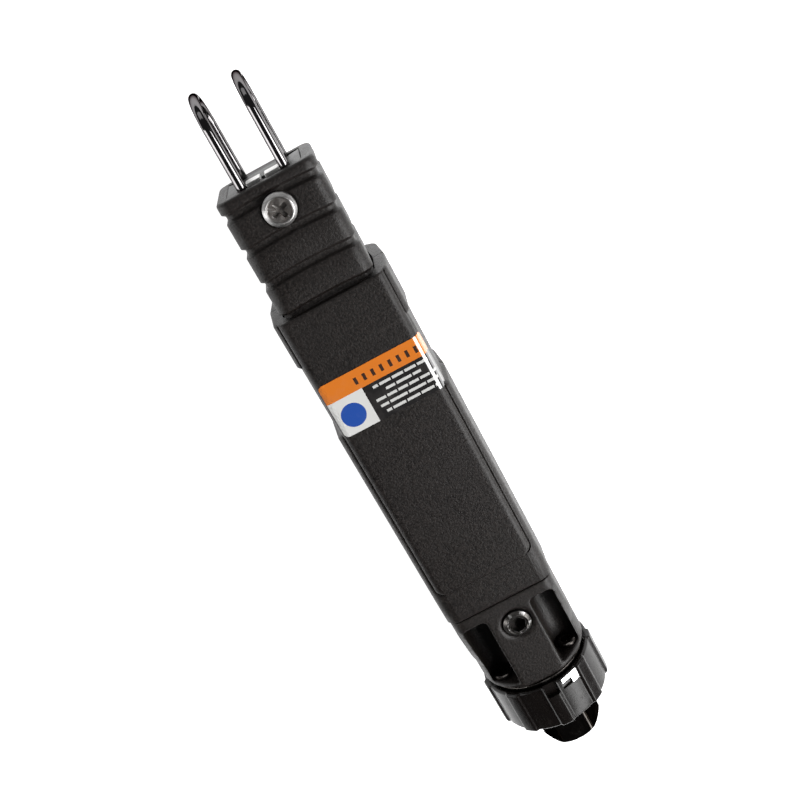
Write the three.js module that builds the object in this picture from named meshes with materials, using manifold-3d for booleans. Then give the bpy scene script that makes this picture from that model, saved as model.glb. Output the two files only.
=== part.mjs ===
// Hand-held impact punch down tool, lying on its flat back.
// Frame: +Y along the tool towards the wire hooks, +Z out of the front panel, +X to the right.
// The origin is under the middle of the tool, on the surface it rests on. Millimetres.
import * as THREE from "three";
import { mergeVertices } from "three/addons/utils/BufferGeometryUtils.js";
import Module from "manifold-3d";

const wasm = await Module();
wasm.setup();

// ---------- driving dimensions ----------
const gap = 0.3;                  // clearance between pieces that seat on each other
const runningGap = 0.3;           // radial clearance of turning and sliding pieces
const springGap = 0.1;            // at each end of a spring
const ringLift = 0.2;             // the collar clears the surface that the case lies on
const stroke = 10;                // how far the spindle and the hammer travel

const caseTop = 50;               // +Y end of the case
const caseBottom = -45;           // -Y end of the two shells
const caseHalfWidth = 16.2;       // at the parting plane, round the barrel
const caseDraft = 0.7;            // how much narrower the case is at its front and back faces
const caseFront = 15.1;           // front face above the centre line, beside the panel
const caseFrontRadius = 3.2;
const caseBackRadius = 6;
const wall = 2;
const sleeveLength = 12.8;        // wider collar around the tail grip
const sleeveExtra = -0.25;        // sleeve's side beyond the body's
const neckLength = 20.4;          // narrower stretch that carries the label
const neckInset = 1;
const panelHalfWidth = 14;
const panelRise = 0.7;
const panelBottom = -35.2;
const bulkheadPlaces = [-26, 2, 26];

const labelLength = 14.9;
const labelHalfWidth = 13.4;
const labelTop = 32.2;
const labelThickness = 0.3;

const noseBottom = -73.8;
const noseRadius = 15.6;
const noseStraight = 8;           // parallel end of the nose housing
const noseShoulderRadius = 20.5;  // cone that rounds the corners of the nose housing
const noseBore = 7.2;
const spigotLength = 7.2;
const pocketRadius = 3.6;
const pocketX = 9.9;              // axial screws, from the centre line
const pocketZ = 7.2;
const pocketTop = -48.6;
const pocketFloor = -71.8;
const axialScrewRadius = 1.5;
const axialScrewHead = 2.7;
const axialHeadHeight = 1.1;
const axialSlotDepth = 0.6;
const axialSlotHalf = 0.4;

const setScrewRadius = 3.9;
const setScrewX = 0.85;
const setScrewY = -53.6;
const setScrewSocket = 2.3;       // half of the hexagon's width across its flats
const setScrewSocketDepth = 4;

const bushRadius = 6.9;
const bushFlangeRadius = 9.4;
const bushFlange = 1.4;
const bushEnd = -53.5;
const bumperLength = 2;

const flangeRadius = 14.6;
const flangePlate = 2.2;
const flangeTubeRadius = 12;
const flangeBore = 9.9;
const flangeEnd = -88.8;

const ringTop = -74.9;
const ringLength = 14.4;
const ringRadius = 16.9;
const ringRibs = 9;
const ringRibDegrees = 14;
const ringRibRise = 0.65;
const ringStepTop = -77.2;        // back face of the ring's inner web
const ringStepBottom = -86.4;     // front face of the ring's inner web
const ringClipBore = 14.2;
const clipThickness = 1;
const washerThickness = 0.5;
const clipGroove = 0.9;
const clipRadius = 13.7;
const clipSplitHalf = 2.2;
const rimRoom = 0.65;             // between the ring's rim and the flange inside it
const notchHalf = 1.9;            // square notch in the ring's rim
const notchLength = 3.8;
const notchDepth = 1.4;
const notchDegrees = 1;
const tabWidth = 5.5;             // index tab: an L of polished plate in the ring's rim
const tabHeight = 3.6;
const tabFoot = 2.7;
const tabBar = 1.5;
const tabThickness = 0.8;
const tabDegrees = 22;

const spindleEnd = -103.8;
const hexAcrossFlats = 16;
const hexChamfer = 1.1;
const hexClearance = 0.7;         // left behind the hexagon when the spindle is right in
const socketRadius = 4;
const socketDepth = 13.5;
const shankRadius = 4.9;
const collarRadius = 6.7;
const collarLength = 3.1;
const tailRadius = 3.4;

const barrelRoom = 1.6;           // between the barrel and the sides of the case
const barrelWall = 1.5;
const barrelBottom = -37.3;
const barrelTop = 33;
const hammerBottom = -33.2;
const hammerLength = 32;
const springGuideLength = 5.7;
const plateThickness = 2.3;
const plateHalfDepth = 4.2;
const plateHole = 3.8;
const plateTravel = 1.5;          // sideways travel that lines the hole up with the spindle
const plateNoseHalf = 2;
const plateBack = -4.8;           // -X end of the trip plate
const plateShoulder = 6.5;        // where its narrow nose starts
const plateSlotBack = -6.8;       // -X end of its slot in the hammer
const plateRoom = 0.2;
const plateInset = 1.8;           // trip plate behind the front of the hammer
const tripCoilRadius = 0.95;
const tripWire = 0.35;
const tripTurns = 3;
const tripPocketRadius = 1.4;
const tripPocketDepth = 1;
const tailRoom = 0.5;             // round the spindle's tail in the hammer
const tailOvertravel = 6;
const camHalfDepth = 2.3;
const camLength = 21;
const camLead = 1.5;              // how far the ramp reaches in front of the hammer
const mainWire = 1.6;
const mainCoilRoom = 1.4;         // between the coil and the barrel
const springGuideRoom = 0.7;      // between the coil and the guides inside it
const mainTurns = 8;
const returnWire = 0.8;
const returnCoilRadius = 4.7;
const returnTurns = 6;
const seatThickness = 2.5;
const plugLength = 5.6;
const plugSlotHalf = 7;
const plugSlotWidth = 1.6;
const plugSlotDepth = 2;
const capThickness = 3;
const capCorner = 3;
const capHole = 4;

const gripTop = 80.8;
const gripSetBack = 1;            // front of the grip behind the front of the panel
const gripRadius = 3.4;
const gripPitch = 8.85;
const gripGroove = 2.7;
const gripGrooveDepth = 0.85;
const gripFirstRib = 2;
const tangLength = 9.8;
const gripWall = 2.2;

const hookWire = 2.4;
const hookX = 5.5;
const hookTip = 103.8;
const hookBend = 7.5;             // radius of the bend, at the wire's centre
const hookDepth = 4;              // front leg behind the front of the grip
const hookFoot = 60;
const clampScrewY = 73.6;
const clampScrewRadius = 1.95;
const clampHeadRadius = 4;
const clampHeadHeight = 1.9;
const clampHeadSunk = 0.5;
const crossReach = 2.4;           // half the span of the cross recess
const crossHalf = 0.55;
const crossDepth = 1.3;
const lugWidth = 3.6;
const lugSlit = 1.2;
const lugTop = 81.6;
const lugDepth = 5;               // from front to back
const lugSetBack = 3.1;           // front of the lugs behind the front of the grip
const pocketBelow = 3;            // pocket in the grip beyond the feet of the hooks
const guideThickness = 4;
const clampPlateThickness = 2;
const clampCheek = 2.5;           // clamp block beside the wires

const caseScrewRadius = 1.4;
const caseScrewHead = 2.7;
const caseScrewX = 9.4;
const caseBossRadius = 2.9;
const caseScrewInset = 5.6;       // from the ends of the shells

// ---------- places worked out from the driving dimensions ----------
const axisHeight = ringRadius + ringLift;   // centre line of the mechanism
const panelFront = axisHeight + caseFront + panelRise;
const caseFrontZ = axisHeight + caseFront;
const sleeveBottom = caseTop - sleeveLength;
const neckBottom = sleeveBottom - neckLength;
const cavityHalfWidth = caseHalfWidth - caseDraft - wall;
const gripFront = panelFront - gripSetBack;
const legRadius = hookWire / 2;
const frontLegZ = gripFront - hookDepth;
const backLegZ = frontLegZ - 2 * hookBend;
const clampHalfWidth = hookX + legRadius + clampCheek;
const gripHalfWidth = clampHalfWidth + gap + gripWall + gripGrooveDepth;
const gripBack = backLegZ - legRadius - clampPlateThickness - 2 * gap - gripWall;
const ringBottom = ringTop - ringLength;
const hexRear = noseBottom - gap - bushFlange - stroke - hexClearance;
const barrelBore = Math.min(cavityHalfWidth, caseFront - wall) - barrelRoom - barrelWall;
const plateNose = barrelBore - 0.2;
const mainCoilRadius = barrelBore - runningGap - mainCoilRoom - mainWire / 2;
const springGuideRadius = mainCoilRadius - mainWire / 2 - springGuideRoom;
const hammerTop = hammerBottom + hammerLength;
const plateFront = hammerBottom + plateInset;
const camY = plateFront + plateThickness / 2;
const camSlope = plateTravel / stroke;
const collarTop = bushEnd + bumperLength + 2 * gap + collarLength;
const plugBottom = barrelTop - plugLength;
const seatBottom = plugBottom - gap - seatThickness;
const screwRows = [caseTop - caseScrewInset, caseBottom + caseScrewInset - 1.2];

// ---------- finishes ----------
const finishes = {
  casing: { color: 0x272523, roughness: 0.6, metalness: 0 },
  grip: { color: 0x2a2725, roughness: 0.65, metalness: 0 },
  collar: { color: 0x161514, roughness: 0.3, metalness: 0 },
  chrome: { color: 0xd8d8da, roughness: 0.08, metalness: 1 },
  steel: { color: 0xa9a8a5, roughness: 0.35, metalness: 1 },
  darkSteel: { color: 0x2c2a29, roughness: 0.4, metalness: 1 },
  zinc: { color: 0xbfc2bf, roughness: 0.4, metalness: 1 },
  bronze: { color: 0xa97c45, roughness: 0.4, metalness: 1 },
  spring: { color: 0x8f8e8b, roughness: 0.3, metalness: 1 },
  rubber: { color: 0x1b1b1b, roughness: 0.9, metalness: 0 },
  label: { color: 0xe8742c, roughness: 0.3, metalness: 0 },
};

// ---------- solids ----------
function solidFrom(positions, indices) {
  const kept = [];
  for (let i = 0; i < indices.length; i += 3) {
    const [a, b, c] = [indices[i], indices[i + 1], indices[i + 2]];
    if (a !== b && b !== c && c !== a) kept.push(a, b, c);
  }
  const vertex = (i) => new THREE.Vector3().fromArray(positions, 3 * i);
  let volume = 0;
  for (let i = 0; i < kept.length; i += 3) {
    volume += vertex(kept[i]).dot(vertex(kept[i + 1]).cross(vertex(kept[i + 2])));
  }
  if (volume < 0) kept.reverse();
  return new wasm.Manifold(new wasm.Mesh({
    numProp: 3,
    vertProperties: Float32Array.from(positions),
    triVerts: Uint32Array.from(kept),
  }));
}

function solid(geometry) {
  const bare = geometry.index ? geometry.toNonIndexed() : geometry.clone();
  bare.deleteAttribute("normal");
  bare.deleteAttribute("uv");
  const merged = mergeVertices(bare, 1e-4);
  return solidFrom(merged.attributes.position.array, merged.index.array);
}

function joined(solids) {
  return solids.reduce((sum, next) => sum.add(next));
}

// Closed outline through corners [x, y, radius], each corner rounded with an arc.
function outline(corners, steps = 6) {
  const points = [];
  corners.forEach(([x, y, radius = 0], i) => {
    const here = new THREE.Vector2(x, y);
    const last = corners[(i + corners.length - 1) % corners.length];
    const next = corners[(i + 1) % corners.length];
    const back = new THREE.Vector2(last[0], last[1]).sub(here).normalize();
    const ahead = new THREE.Vector2(next[0], next[1]).sub(here).normalize();
    if (radius === 0) {
      points.push(here);
      return;
    }
    const half = Math.acos(THREE.MathUtils.clamp(back.dot(ahead), -1, 1)) / 2;
    const start = here.clone().addScaledVector(back, radius / Math.tan(half));
    const middle = back.clone().add(ahead).normalize();
    const centre = here.clone().addScaledVector(middle, radius / Math.sin(half));
    const turn = Math.PI - 2 * half;
    const side = Math.sign(back.cross(ahead));
    for (let k = 0; k <= steps; k += 1) {
      const spoke = start.clone().sub(centre);
      points.push(spoke.rotateAround(new THREE.Vector2(), -side * turn * k / steps).add(centre));
    }
  });
  return points;
}

function extruded(points, depth) {
  return new THREE.ExtrudeGeometry(new THREE.Shape(points), { depth, bevelEnabled: false });
}

// Puts both ends of an extrusion exactly on their planes, so that neighbours share them.
function withExactEnds(geometry, axis, low, high) {
  const places = geometry.attributes.position;
  const middle = (low + high) / 2;
  for (let i = 0; i < places.count; i += 1) {
    places.setComponent(i, axis, places.getComponent(i, axis) < middle ? low : high);
  }
  return solid(geometry);
}

// Section drawn in X and Z, run along Y.
function alongY(points, low, high) {
  const geometry = extruded(points, high - low);
  geometry.rotateX(Math.PI / 2);
  geometry.translate(0, high, 0);
  return withExactEnds(geometry, 1, low, high);
}

// Section drawn in X and Y, run along Z.
function alongZ(points, low, high) {
  const geometry = extruded(points, high - low);
  geometry.translate(0, 0, low);
  return withExactEnds(geometry, 2, low, high);
}

function block(x0, x1, y0, y1, z0, z1) {
  const geometry = new THREE.BoxGeometry(x1 - x0, y1 - y0, z1 - z0);
  geometry.translate((x0 + x1) / 2, (y0 + y1) / 2, (z0 + z1) / 2);
  return solid(geometry);
}

// Turned about the tool's centre line: profile of [radius, y], from axis to axis or closed.
function turned(profile, segments = 36, x = 0, z = 0) {
  const points = profile.map(([r, y]) => new THREE.Vector2(r, y));
  const geometry = new THREE.LatheGeometry(points, segments);
  geometry.translate(x, 0, axisHeight + z);
  return solid(geometry);
}

function rodY(radius, low, high, segments = 36, x = 0, z = 0) {
  return turned([[0, low], [radius, low], [radius, high], [0, high]], segments, x, z);
}

function tubeY(inner, outer, low, high, segments = 36) {
  return turned([[inner, low], [outer, low], [outer, high], [inner, high], [inner, low]], segments);
}

function rodZ(radius, x, y, low, high, segments = 28) {
  const geometry = new THREE.CylinderGeometry(radius, radius, high - low, segments);
  geometry.rotateX(Math.PI / 2);
  geometry.translate(x, y, (low + high) / 2);
  return solid(geometry);
}

function rodX(radius, y, z, low, high, segments = 16) {
  const geometry = new THREE.CylinderGeometry(radius, radius, high - low, segments);
  geometry.rotateZ(Math.PI / 2);
  geometry.translate((low + high) / 2, y, z);
  return solid(geometry);
}

function hexagon(acrossFlats, x = 0, y = 0) {
  const corner = acrossFlats / Math.sqrt(3);
  return Array.from({ length: 6 }, (_, i) => {
    const angle = i * Math.PI / 3;
    return new THREE.Vector2(x + corner * Math.cos(angle), y + corner * Math.sin(angle));
  });
}

class Helix extends THREE.Curve {
  constructor(radius, length, turns) {
    super();
    Object.assign(this, { radius, length, turns });
  }
  getPoint(t, target = new THREE.Vector3()) {
    const angle = 2 * Math.PI * this.turns * t;
    return target.set(this.radius * Math.cos(angle), this.length * t, this.radius * Math.sin(angle));
  }
}

function wireSection(radius, sides) {
  return new THREE.Shape(Array.from({ length: sides }, (_, i) => {
    const angle = 2 * Math.PI * i / sides;
    return new THREE.Vector2(radius * Math.cos(angle), radius * Math.sin(angle));
  }));
}

// Compression spring between two faces, wound about Y.
function coil(coilRadius, wire, low, high, turns, sides = 6, stepsPerTurn = 11) {
  const geometry = new THREE.ExtrudeGeometry(wireSection(wire / 2, sides), {
    steps: turns * stepsPerTurn,
    bevelEnabled: false,
    extrudePath: new Helix(coilRadius, high - low - wire, turns),
  });
  geometry.translate(0, low + wire / 2, 0);
  return geometry;
}

// ---------- the object ----------
const tool = new THREE.Group();
tool.name = "punch_down_tool";

function piece(name, shape, finish) {
  let geometry = shape;
  if (!(shape instanceof THREE.BufferGeometry)) {
    const mesh = shape.getMesh();
    geometry = new THREE.BufferGeometry();
    geometry.setAttribute("position", new THREE.BufferAttribute(mesh.vertProperties, 3));
    geometry.setIndex(new THREE.BufferAttribute(mesh.triVerts, 1));
    geometry.computeVertexNormals();
  }
  const part = new THREE.Mesh(geometry, new THREE.MeshStandardMaterial(finishes[finish]));
  part.name = name;
  tool.add(part);
}

// Case screws pass through the back shell and the block inside it into the front shell.
function caseScrewPlaces() {
  return screwRows.flatMap((y) => [-1, 1].map((side) => [side * caseScrewX, y]));
}

// Holes in a block between the shells: wide enough for the bosses in front, for the screws behind.
function caseScrewHoles(middle) {
  return caseScrewPlaces().reduce((rest, [x, y]) => rest
    .subtract(rodZ(caseBossRadius + gap, x, y, axisHeight, caseFrontZ + 1, 20))
    .subtract(rodZ(caseScrewRadius + gap, x, y, -1, caseFrontZ + 1, 16)), middle);
}

// Half of the case section, from the parting plane to the front (side 1) or the back (side -1).
function halfSection(halfWidth, reach, radius, side) {
  return outline([
    [-halfWidth, axisHeight],
    [halfWidth, axisHeight],
    [halfWidth - caseDraft, axisHeight + side * reach, radius],
    [-halfWidth + caseDraft, axisHeight + side * reach, radius],
  ]);
}

const stretches = [
  { low: sleeveBottom, high: caseTop, halfWidth: caseHalfWidth + sleeveExtra },
  { low: neckBottom, high: sleeveBottom, halfWidth: caseHalfWidth - neckInset },
  { low: caseBottom, high: neckBottom, halfWidth: caseHalfWidth },
];

// Room for the ramp beside the barrel.
function camSeat() {
  const low = hammerBottom - camLead;
  return block(barrelBore, cavityHalfWidth, low - gap, low + camLength + gap,
    axisHeight - camHalfDepth - gap, axisHeight + camHalfDepth + gap);
}

// Bulkheads that hold the barrel, one at each place along the case.
function bulkheads(side) {
  const reach = side > 0 ? caseFront - wall / 2 : axisHeight - wall / 2;
  const z0 = side > 0 ? axisHeight + gap / 2 : axisHeight - reach;
  const z1 = side > 0 ? axisHeight + reach : axisHeight - gap / 2;
  const seat = barrelBore + barrelWall + gap;
  return bulkheadPlaces.map((y) => block(
    -cavityHalfWidth - wall / 4, cavityHalfWidth + wall / 4, y - wall / 2, y + wall / 2, z0, z1,
  ).subtract(rodY(seat, y - wall, y + wall)).subtract(camSeat()));
}

function frontShell() {
  const outer = stretches.map(({ low, high, halfWidth }) => alongY(
    halfSection(halfWidth, caseFront, caseFrontRadius, 1), low, high));
  const panel = block(-panelHalfWidth, panelHalfWidth, panelBottom, caseTop,
    caseFrontZ - wall / 2, panelFront);
  const cavity = block(-cavityHalfWidth, cavityHalfWidth, caseBottom - 1, caseTop + 1,
    axisHeight - 1, caseFrontZ - wall);
  const labelSeat = block(-labelHalfWidth - gap, labelHalfWidth + gap,
    labelTop - labelLength - gap, labelTop + gap,
    panelFront - labelThickness, panelFront + 1);
  const above = block(-50, 50, -200, 200, axisHeight + gap / 2, 100);
  const bosses = caseScrewPlaces().map(([x, y]) => rodZ(
    caseBossRadius, x, y, axisHeight + gap, caseFrontZ - wall / 2, 20));
  const whole = joined([...outer, panel]);
  const collarRoom = rodY(collarRadius + gap, caseBottom - 1, collarTop + stroke + gap);
  const ribs = joined([...bulkheads(1), ...bosses]).intersect(whole).subtract(collarRoom);
  const shell = whole.subtract(cavity).add(ribs).subtract(labelSeat).intersect(above);
  return caseScrewPlaces().reduce((rest, [x, y]) => rest
    .subtract(rodZ(caseScrewRadius + gap, x, y, axisHeight, caseFrontZ - wall, 16)), shell);
}

function backShell() {
  const outer = stretches.map(({ low, high, halfWidth }) => alongY(
    halfSection(halfWidth, axisHeight, caseBackRadius, -1), low, high));
  const cavity = alongY(outline([
    [-cavityHalfWidth, axisHeight + 1],
    [cavityHalfWidth, axisHeight + 1],
    [cavityHalfWidth, wall, caseBackRadius - wall],
    [-cavityHalfWidth, wall, caseBackRadius - wall],
  ]), caseBottom - 1, caseTop + 1);
  const below = block(-50, 50, -200, 200, -1, axisHeight - gap / 2);
  const whole = joined(outer);
  const ribs = joined(bulkheads(-1)).intersect(whole);
  const hollow = whole.subtract(cavity).add(ribs).intersect(below);
  return caseScrewPlaces().reduce((rest, [x, y]) => rest
    .subtract(rodZ(caseScrewRadius + gap, x, y, -1, axisHeight, 16))
    .subtract(rodZ(caseScrewHead + gap, x, y, -1, wall / 2, 20)), hollow);
}

function noseHousing() {
  const shoulder = caseBottom - gap;
  const body = alongY(outline([
    [-noseRadius, axisHeight],
    [-noseRadius + caseDraft, caseFrontZ, caseFrontRadius],
    [noseRadius - caseDraft, caseFrontZ, caseFrontRadius],
    [noseRadius, axisHeight],
    [noseRadius - caseDraft, 0, caseBackRadius],
    [-noseRadius + caseDraft, 0, caseBackRadius],
  ]), noseBottom, shoulder);
  const rounding = turned([
    [0, noseBottom - 1], [noseRadius, noseBottom - 1], [noseRadius, noseBottom + noseStraight],
    [noseShoulderRadius, shoulder + 1], [0, shoulder + 1],
  ], 60);
  const spigot = block(-cavityHalfWidth + gap, cavityHalfWidth - gap, shoulder - 1,
    caseBottom + spigotLength, caseBackRadius, caseFrontZ - wall - gap);
  let housing = body.intersect(rounding).add(spigot);
  housing = housing.subtract(rodY(noseBore, noseBottom - 1, caseBottom + spigotLength + 1));
  for (const x of [-pocketX, pocketX]) {
    for (const z of [-pocketZ, pocketZ]) {
      const out = z > 0 ? [axisHeight + z, 60] : [-20, axisHeight + z];
      housing = housing
        .subtract(rodY(pocketRadius, pocketFloor, pocketTop, 24, x, z))
        .subtract(block(x - pocketRadius, x + pocketRadius, pocketFloor, pocketTop, ...out))
        .subtract(rodY(axialScrewRadius + gap, noseBottom - 1, pocketFloor + 1, 14, x, z));
    }
  }
  housing = housing.subtract(rodZ(setScrewRadius + gap, setScrewX, setScrewY, axisHeight, 60));
  return caseScrewHoles(housing);
}

function gripSection(inset) {
  const half = gripHalfWidth - inset;
  const radius = Math.max(gripRadius - inset, 0.5);
  return outline([
    [-half, gripBack + inset, radius],
    [half, gripBack + inset, radius],
    [half, gripFront - inset, radius],
    [-half, gripFront - inset, radius],
  ]);
}

function tailGrip() {
  const shoulder = caseTop + gap;
  const ribs = [];
  let top = gripTop;
  let bottom = gripTop - gripFirstRib;
  while (bottom > shoulder) {
    ribs.push(alongY(gripSection(0), bottom, top));
    top = bottom - gripGroove;
    bottom = Math.max(top - gripPitch + gripGroove, top <= shoulder ? -Infinity : shoulder);
  }
  const core = alongY(gripSection(gripGrooveDepth), shoulder, gripTop);
  const tang = block(-cavityHalfWidth + gap, cavityHalfWidth - gap, caseTop - tangLength,
    shoulder + 1, gripBack + gripGrooveDepth, caseFrontZ - wall - gap);
  const pocketInner = gripHalfWidth - gripGrooveDepth - gripWall;
  const pocket = block(-pocketInner, pocketInner, hookFoot - pocketBelow, gripTop + 1,
    gripBack + gripWall, gripFront - gripWall);
  const screwHole = rodZ(clampScrewRadius + gap, 0, clampScrewY, axisHeight, 60);
  const headSeat = rodZ(clampHeadRadius + gap, 0, clampScrewY, gripFront - clampHeadSunk - gap, 60);
  const grip = joined([core, tang, ...ribs]).subtract(pocket).subtract(screwHole).subtract(headSeat);
  return caseScrewHoles(grip);
}

function lugSpan() {
  return { low: gripFront - lugSetBack - lugDepth, high: gripFront - lugSetBack };
}

function guidePlate() {
  const inner = gripHalfWidth - gripGrooveDepth - gripWall - gap;
  const slot = lugSpan();
  let plate = block(-inner, inner, gripTop - guideThickness, gripTop - gap,
    gripBack + gripWall + gap, gripFront - gripWall - gap);
  plate = plate.subtract(block(
    -lugSlit / 2 - lugWidth - gap, lugSlit / 2 + lugWidth + gap, gripTop - guideThickness - 1,
    gripTop + 1, slot.low - gap, slot.high + gap));
  plate = plate.subtract(block(
    -hookX, hookX, gripTop - guideThickness - 1, gripTop + 1, frontLegZ, gripFront));
  for (const x of [-hookX, hookX]) {
    for (const z of [frontLegZ, backLegZ]) {
      plate = plate.subtract(rodY(
        legRadius + gap, gripTop - guideThickness - 1, gripTop + 1, 24, x, z - axisHeight));
    }
  }
  return plate;
}

function clampBlock() {
  const slot = lugSpan();
  const top = gripTop - guideThickness - gap;
  let body = block(-clampHalfWidth, clampHalfWidth, hookFoot, top,
    backLegZ + legRadius + gap, frontLegZ - legRadius - gap);
  for (const side of [-1, 1]) {
    const inner = side * lugSlit / 2;
    const outer = side * (lugSlit / 2 + lugWidth);
    body = body.add(block(
      Math.min(inner, outer), Math.max(inner, outer), top - 1, lugTop, slot.low, slot.high));
  }
  return body.subtract(rodZ(clampScrewRadius + gap, 0, clampScrewY, 0, 60));
}

function clampPlate() {
  const front = backLegZ - legRadius - gap;
  return block(-clampHalfWidth, clampHalfWidth, hookFoot, gripTop - guideThickness - gap,
    front - clampPlateThickness, front)
    .subtract(rodZ(clampScrewRadius + gap, 0, clampScrewY, 0, 60));
}

function clampScrew() {
  const seat = gripFront - clampHeadSunk;
  const head = rodZ(clampHeadRadius, 0, clampScrewY, seat, seat + clampHeadHeight, 40);
  const tip = backLegZ - legRadius - gap - clampPlateThickness;
  const shank = rodZ(clampScrewRadius, 0, clampScrewY, tip, seat + 1, 24);
  let screw = head.add(shank);
  const floor = seat + clampHeadHeight - crossDepth;
  for (const [halfX, halfY] of [[crossReach, crossHalf], [crossHalf, crossReach]]) {
    screw = screw.subtract(block(-halfX, halfX, clampScrewY - halfY, clampScrewY + halfY, floor, 60));
  }
  return screw;
}

// One hairpin of wire: front leg, half-round bend, back leg.
function hook(x) {
  const bendY = hookTip - legRadius - hookBend;
  const path = new THREE.CurvePath();
  const middle = (frontLegZ + backLegZ) / 2;
  const at = (y, z) => new THREE.Vector3(x, y, z);
  const bend = Array.from({ length: 13 }, (_, i) => {
    const angle = Math.PI * i / 12;
    return at(bendY + hookBend * Math.sin(angle), middle + hookBend * Math.cos(angle));
  });
  const points = [at(hookFoot + gap, frontLegZ), ...bend, at(hookFoot + gap, backLegZ)];
  points.slice(1).forEach((point, i) => path.add(new THREE.LineCurve3(points[i], point)));
  const sections = points.map((point, i) => {
    const last = points[Math.max(i - 1, 0)];
    const next = points[Math.min(i + 1, points.length - 1)];
    return { point, tangent: next.clone().sub(last).normalize() };
  });
  return sweep(sections, legRadius, 14);
}

// Round wire through places in one plane of constant x.
function sweep(sections, radius, sides) {
  const positions = [];
  const indices = [];
  const across = new THREE.Vector3(1, 0, 0);
  for (const { point, tangent } of sections) {
    const normal = new THREE.Vector3().crossVectors(tangent, across).normalize();
    for (let k = 0; k < sides; k += 1) {
      const angle = 2 * Math.PI * k / sides;
      const spoke = across.clone().multiplyScalar(Math.cos(angle))
        .addScaledVector(normal, Math.sin(angle));
      positions.push(...point.clone().addScaledVector(spoke, radius).toArray());
    }
  }
  const ring = (i, k) => i * sides + (k % sides);
  for (let i = 0; i + 1 < sections.length; i += 1) {
    for (let k = 0; k < sides; k += 1) {
      indices.push(ring(i, k), ring(i, k + 1), ring(i + 1, k));
      indices.push(ring(i, k + 1), ring(i + 1, k + 1), ring(i + 1, k));
    }
  }
  const end = sections.length - 1;
  for (let k = 1; k + 1 < sides; k += 1) {
    indices.push(ring(0, 0), ring(0, k + 1), ring(0, k));
    indices.push(ring(end, 0), ring(end, k), ring(end, k + 1));
  }
  return solidFrom(positions, indices);
}

function setScrew() {
  const low = axisHeight + bushRadius + 2 * gap;
  const high = caseFrontZ + gap;
  const socket = alongZ(
    hexagon(2 * setScrewSocket, setScrewX, setScrewY), high - setScrewSocketDepth, high + 1);
  return rodZ(setScrewRadius, setScrewX, setScrewY, low, high).subtract(socket);
}

function axialScrew(x, z) {
  const headLow = pocketFloor + gap;
  const shank = rodY(axialScrewRadius, noseBottom - gap - flangePlate * 0.6, headLow + 1, 14, x, z);
  const head = rodY(axialScrewHead, headLow, headLow + axialHeadHeight, 20, x, z);
  const headHigh = headLow + axialHeadHeight;
  const slot = block(x - axialScrewHead, x + axialScrewHead, headHigh - axialSlotDepth,
    headHigh + 1, axisHeight + z - axialSlotHalf, axisHeight + z + axialSlotHalf);
  return shank.add(head).subtract(slot);
}

function noseFlange() {
  const flangeBack = noseBottom - gap;
  const flangeFront = flangeBack - flangePlate;
  const grooveLow = ringStepBottom - gap - clipThickness - gap;
  let flange = turned([
    [flangeBore, flangeBack], [flangeRadius, flangeBack], [flangeRadius, flangeFront],
    [flangeTubeRadius, flangeFront], [flangeTubeRadius, ringStepBottom - gap / 2],
    [flangeTubeRadius - clipGroove, ringStepBottom - gap / 2],
    [flangeTubeRadius - clipGroove, grooveLow],
    [flangeTubeRadius, grooveLow], [flangeTubeRadius, flangeEnd], [flangeBore, flangeEnd],
    [flangeBore, flangeBack],
  ], 48);
  for (const x of [-pocketX, pocketX]) {
    for (const z of [-pocketZ, pocketZ]) {
      flange = flange.subtract(rodY(
        axialScrewRadius + gap, flangeBack - flangePlate * 0.8, flangeBack + 1, 14, x, z));
    }
  }
  return flange;
}

// Outline of the fluted collar: raised ribs at an even pitch, the first at the front.
function ringOutline() {
  const steps = 108;
  const pitch = 360 / ringRibs;
  return Array.from({ length: steps }, (_, i) => {
    const degrees = 360 * i / steps;
    const fromRib = Math.abs(((degrees + pitch / 2) % pitch) - pitch / 2);
    const radius = fromRib <= ringRibDegrees / 2 ? ringRadius : ringRadius - ringRibRise;
    const angle = THREE.MathUtils.degToRad(degrees);
    return new THREE.Vector2(radius * Math.sin(angle), axisHeight + radius * Math.cos(angle));
  });
}

// Turned from the front of the tool round the centre line, to the right.
function turnedAbout(shape, degrees) {
  const turn = new THREE.Matrix4().makeRotationY(THREE.MathUtils.degToRad(degrees));
  const there = new THREE.Matrix4().makeTranslation(0, 0, axisHeight);
  const back = new THREE.Matrix4().makeTranslation(0, 0, -axisHeight);
  return shape.transform(there.multiply(turn).multiply(back).elements);
}

function lockRing() {
  const bore = flangeTubeRadius + runningGap;
  const rimBore = flangeRadius + rimRoom;
  let ring = alongY(ringOutline(), ringBottom, ringTop);
  ring = ring.subtract(rodY(rimBore, ringStepTop, ringTop + 1, 48));
  ring = ring.subtract(rodY(bore, ringStepBottom - 1, ringStepTop + 1, 48));
  ring = ring.subtract(rodY(ringClipBore, ringBottom - 1, ringStepBottom, 48));
  const notch = block(-notchHalf, notchHalf, ringTop - notchLength, ringTop + 1,
    axisHeight + ringRadius - notchDepth, axisHeight + ringRadius + 2);
  ring = ring.subtract(turnedAbout(notch, notchDegrees));
  const seat = block(-tabWidth / 2 - gap, tabWidth / 2 + gap, ringTop - tabHeight - gap, ringTop + 1,
    axisHeight + ringRadius - tabThickness - 2 * gap, axisHeight + ringRadius + 2);
  return ring.subtract(turnedAbout(seat, tabDegrees));
}

function indexTab() {
  const top = ringTop - 0.1;
  const right = tabWidth / 2;
  const shape = [
    [-right, top], [right, top], [right, top - tabHeight + 0.1],
    [right - tabFoot, top - tabHeight + 0.1], [right - tabFoot, top - tabBar], [-right, top - tabBar],
  ].map(([x, y]) => new THREE.Vector2(x, y));
  const high = axisHeight + ringRadius - gap;
  return turnedAbout(alongZ(shape, high - tabThickness, high), tabDegrees);
}

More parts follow.
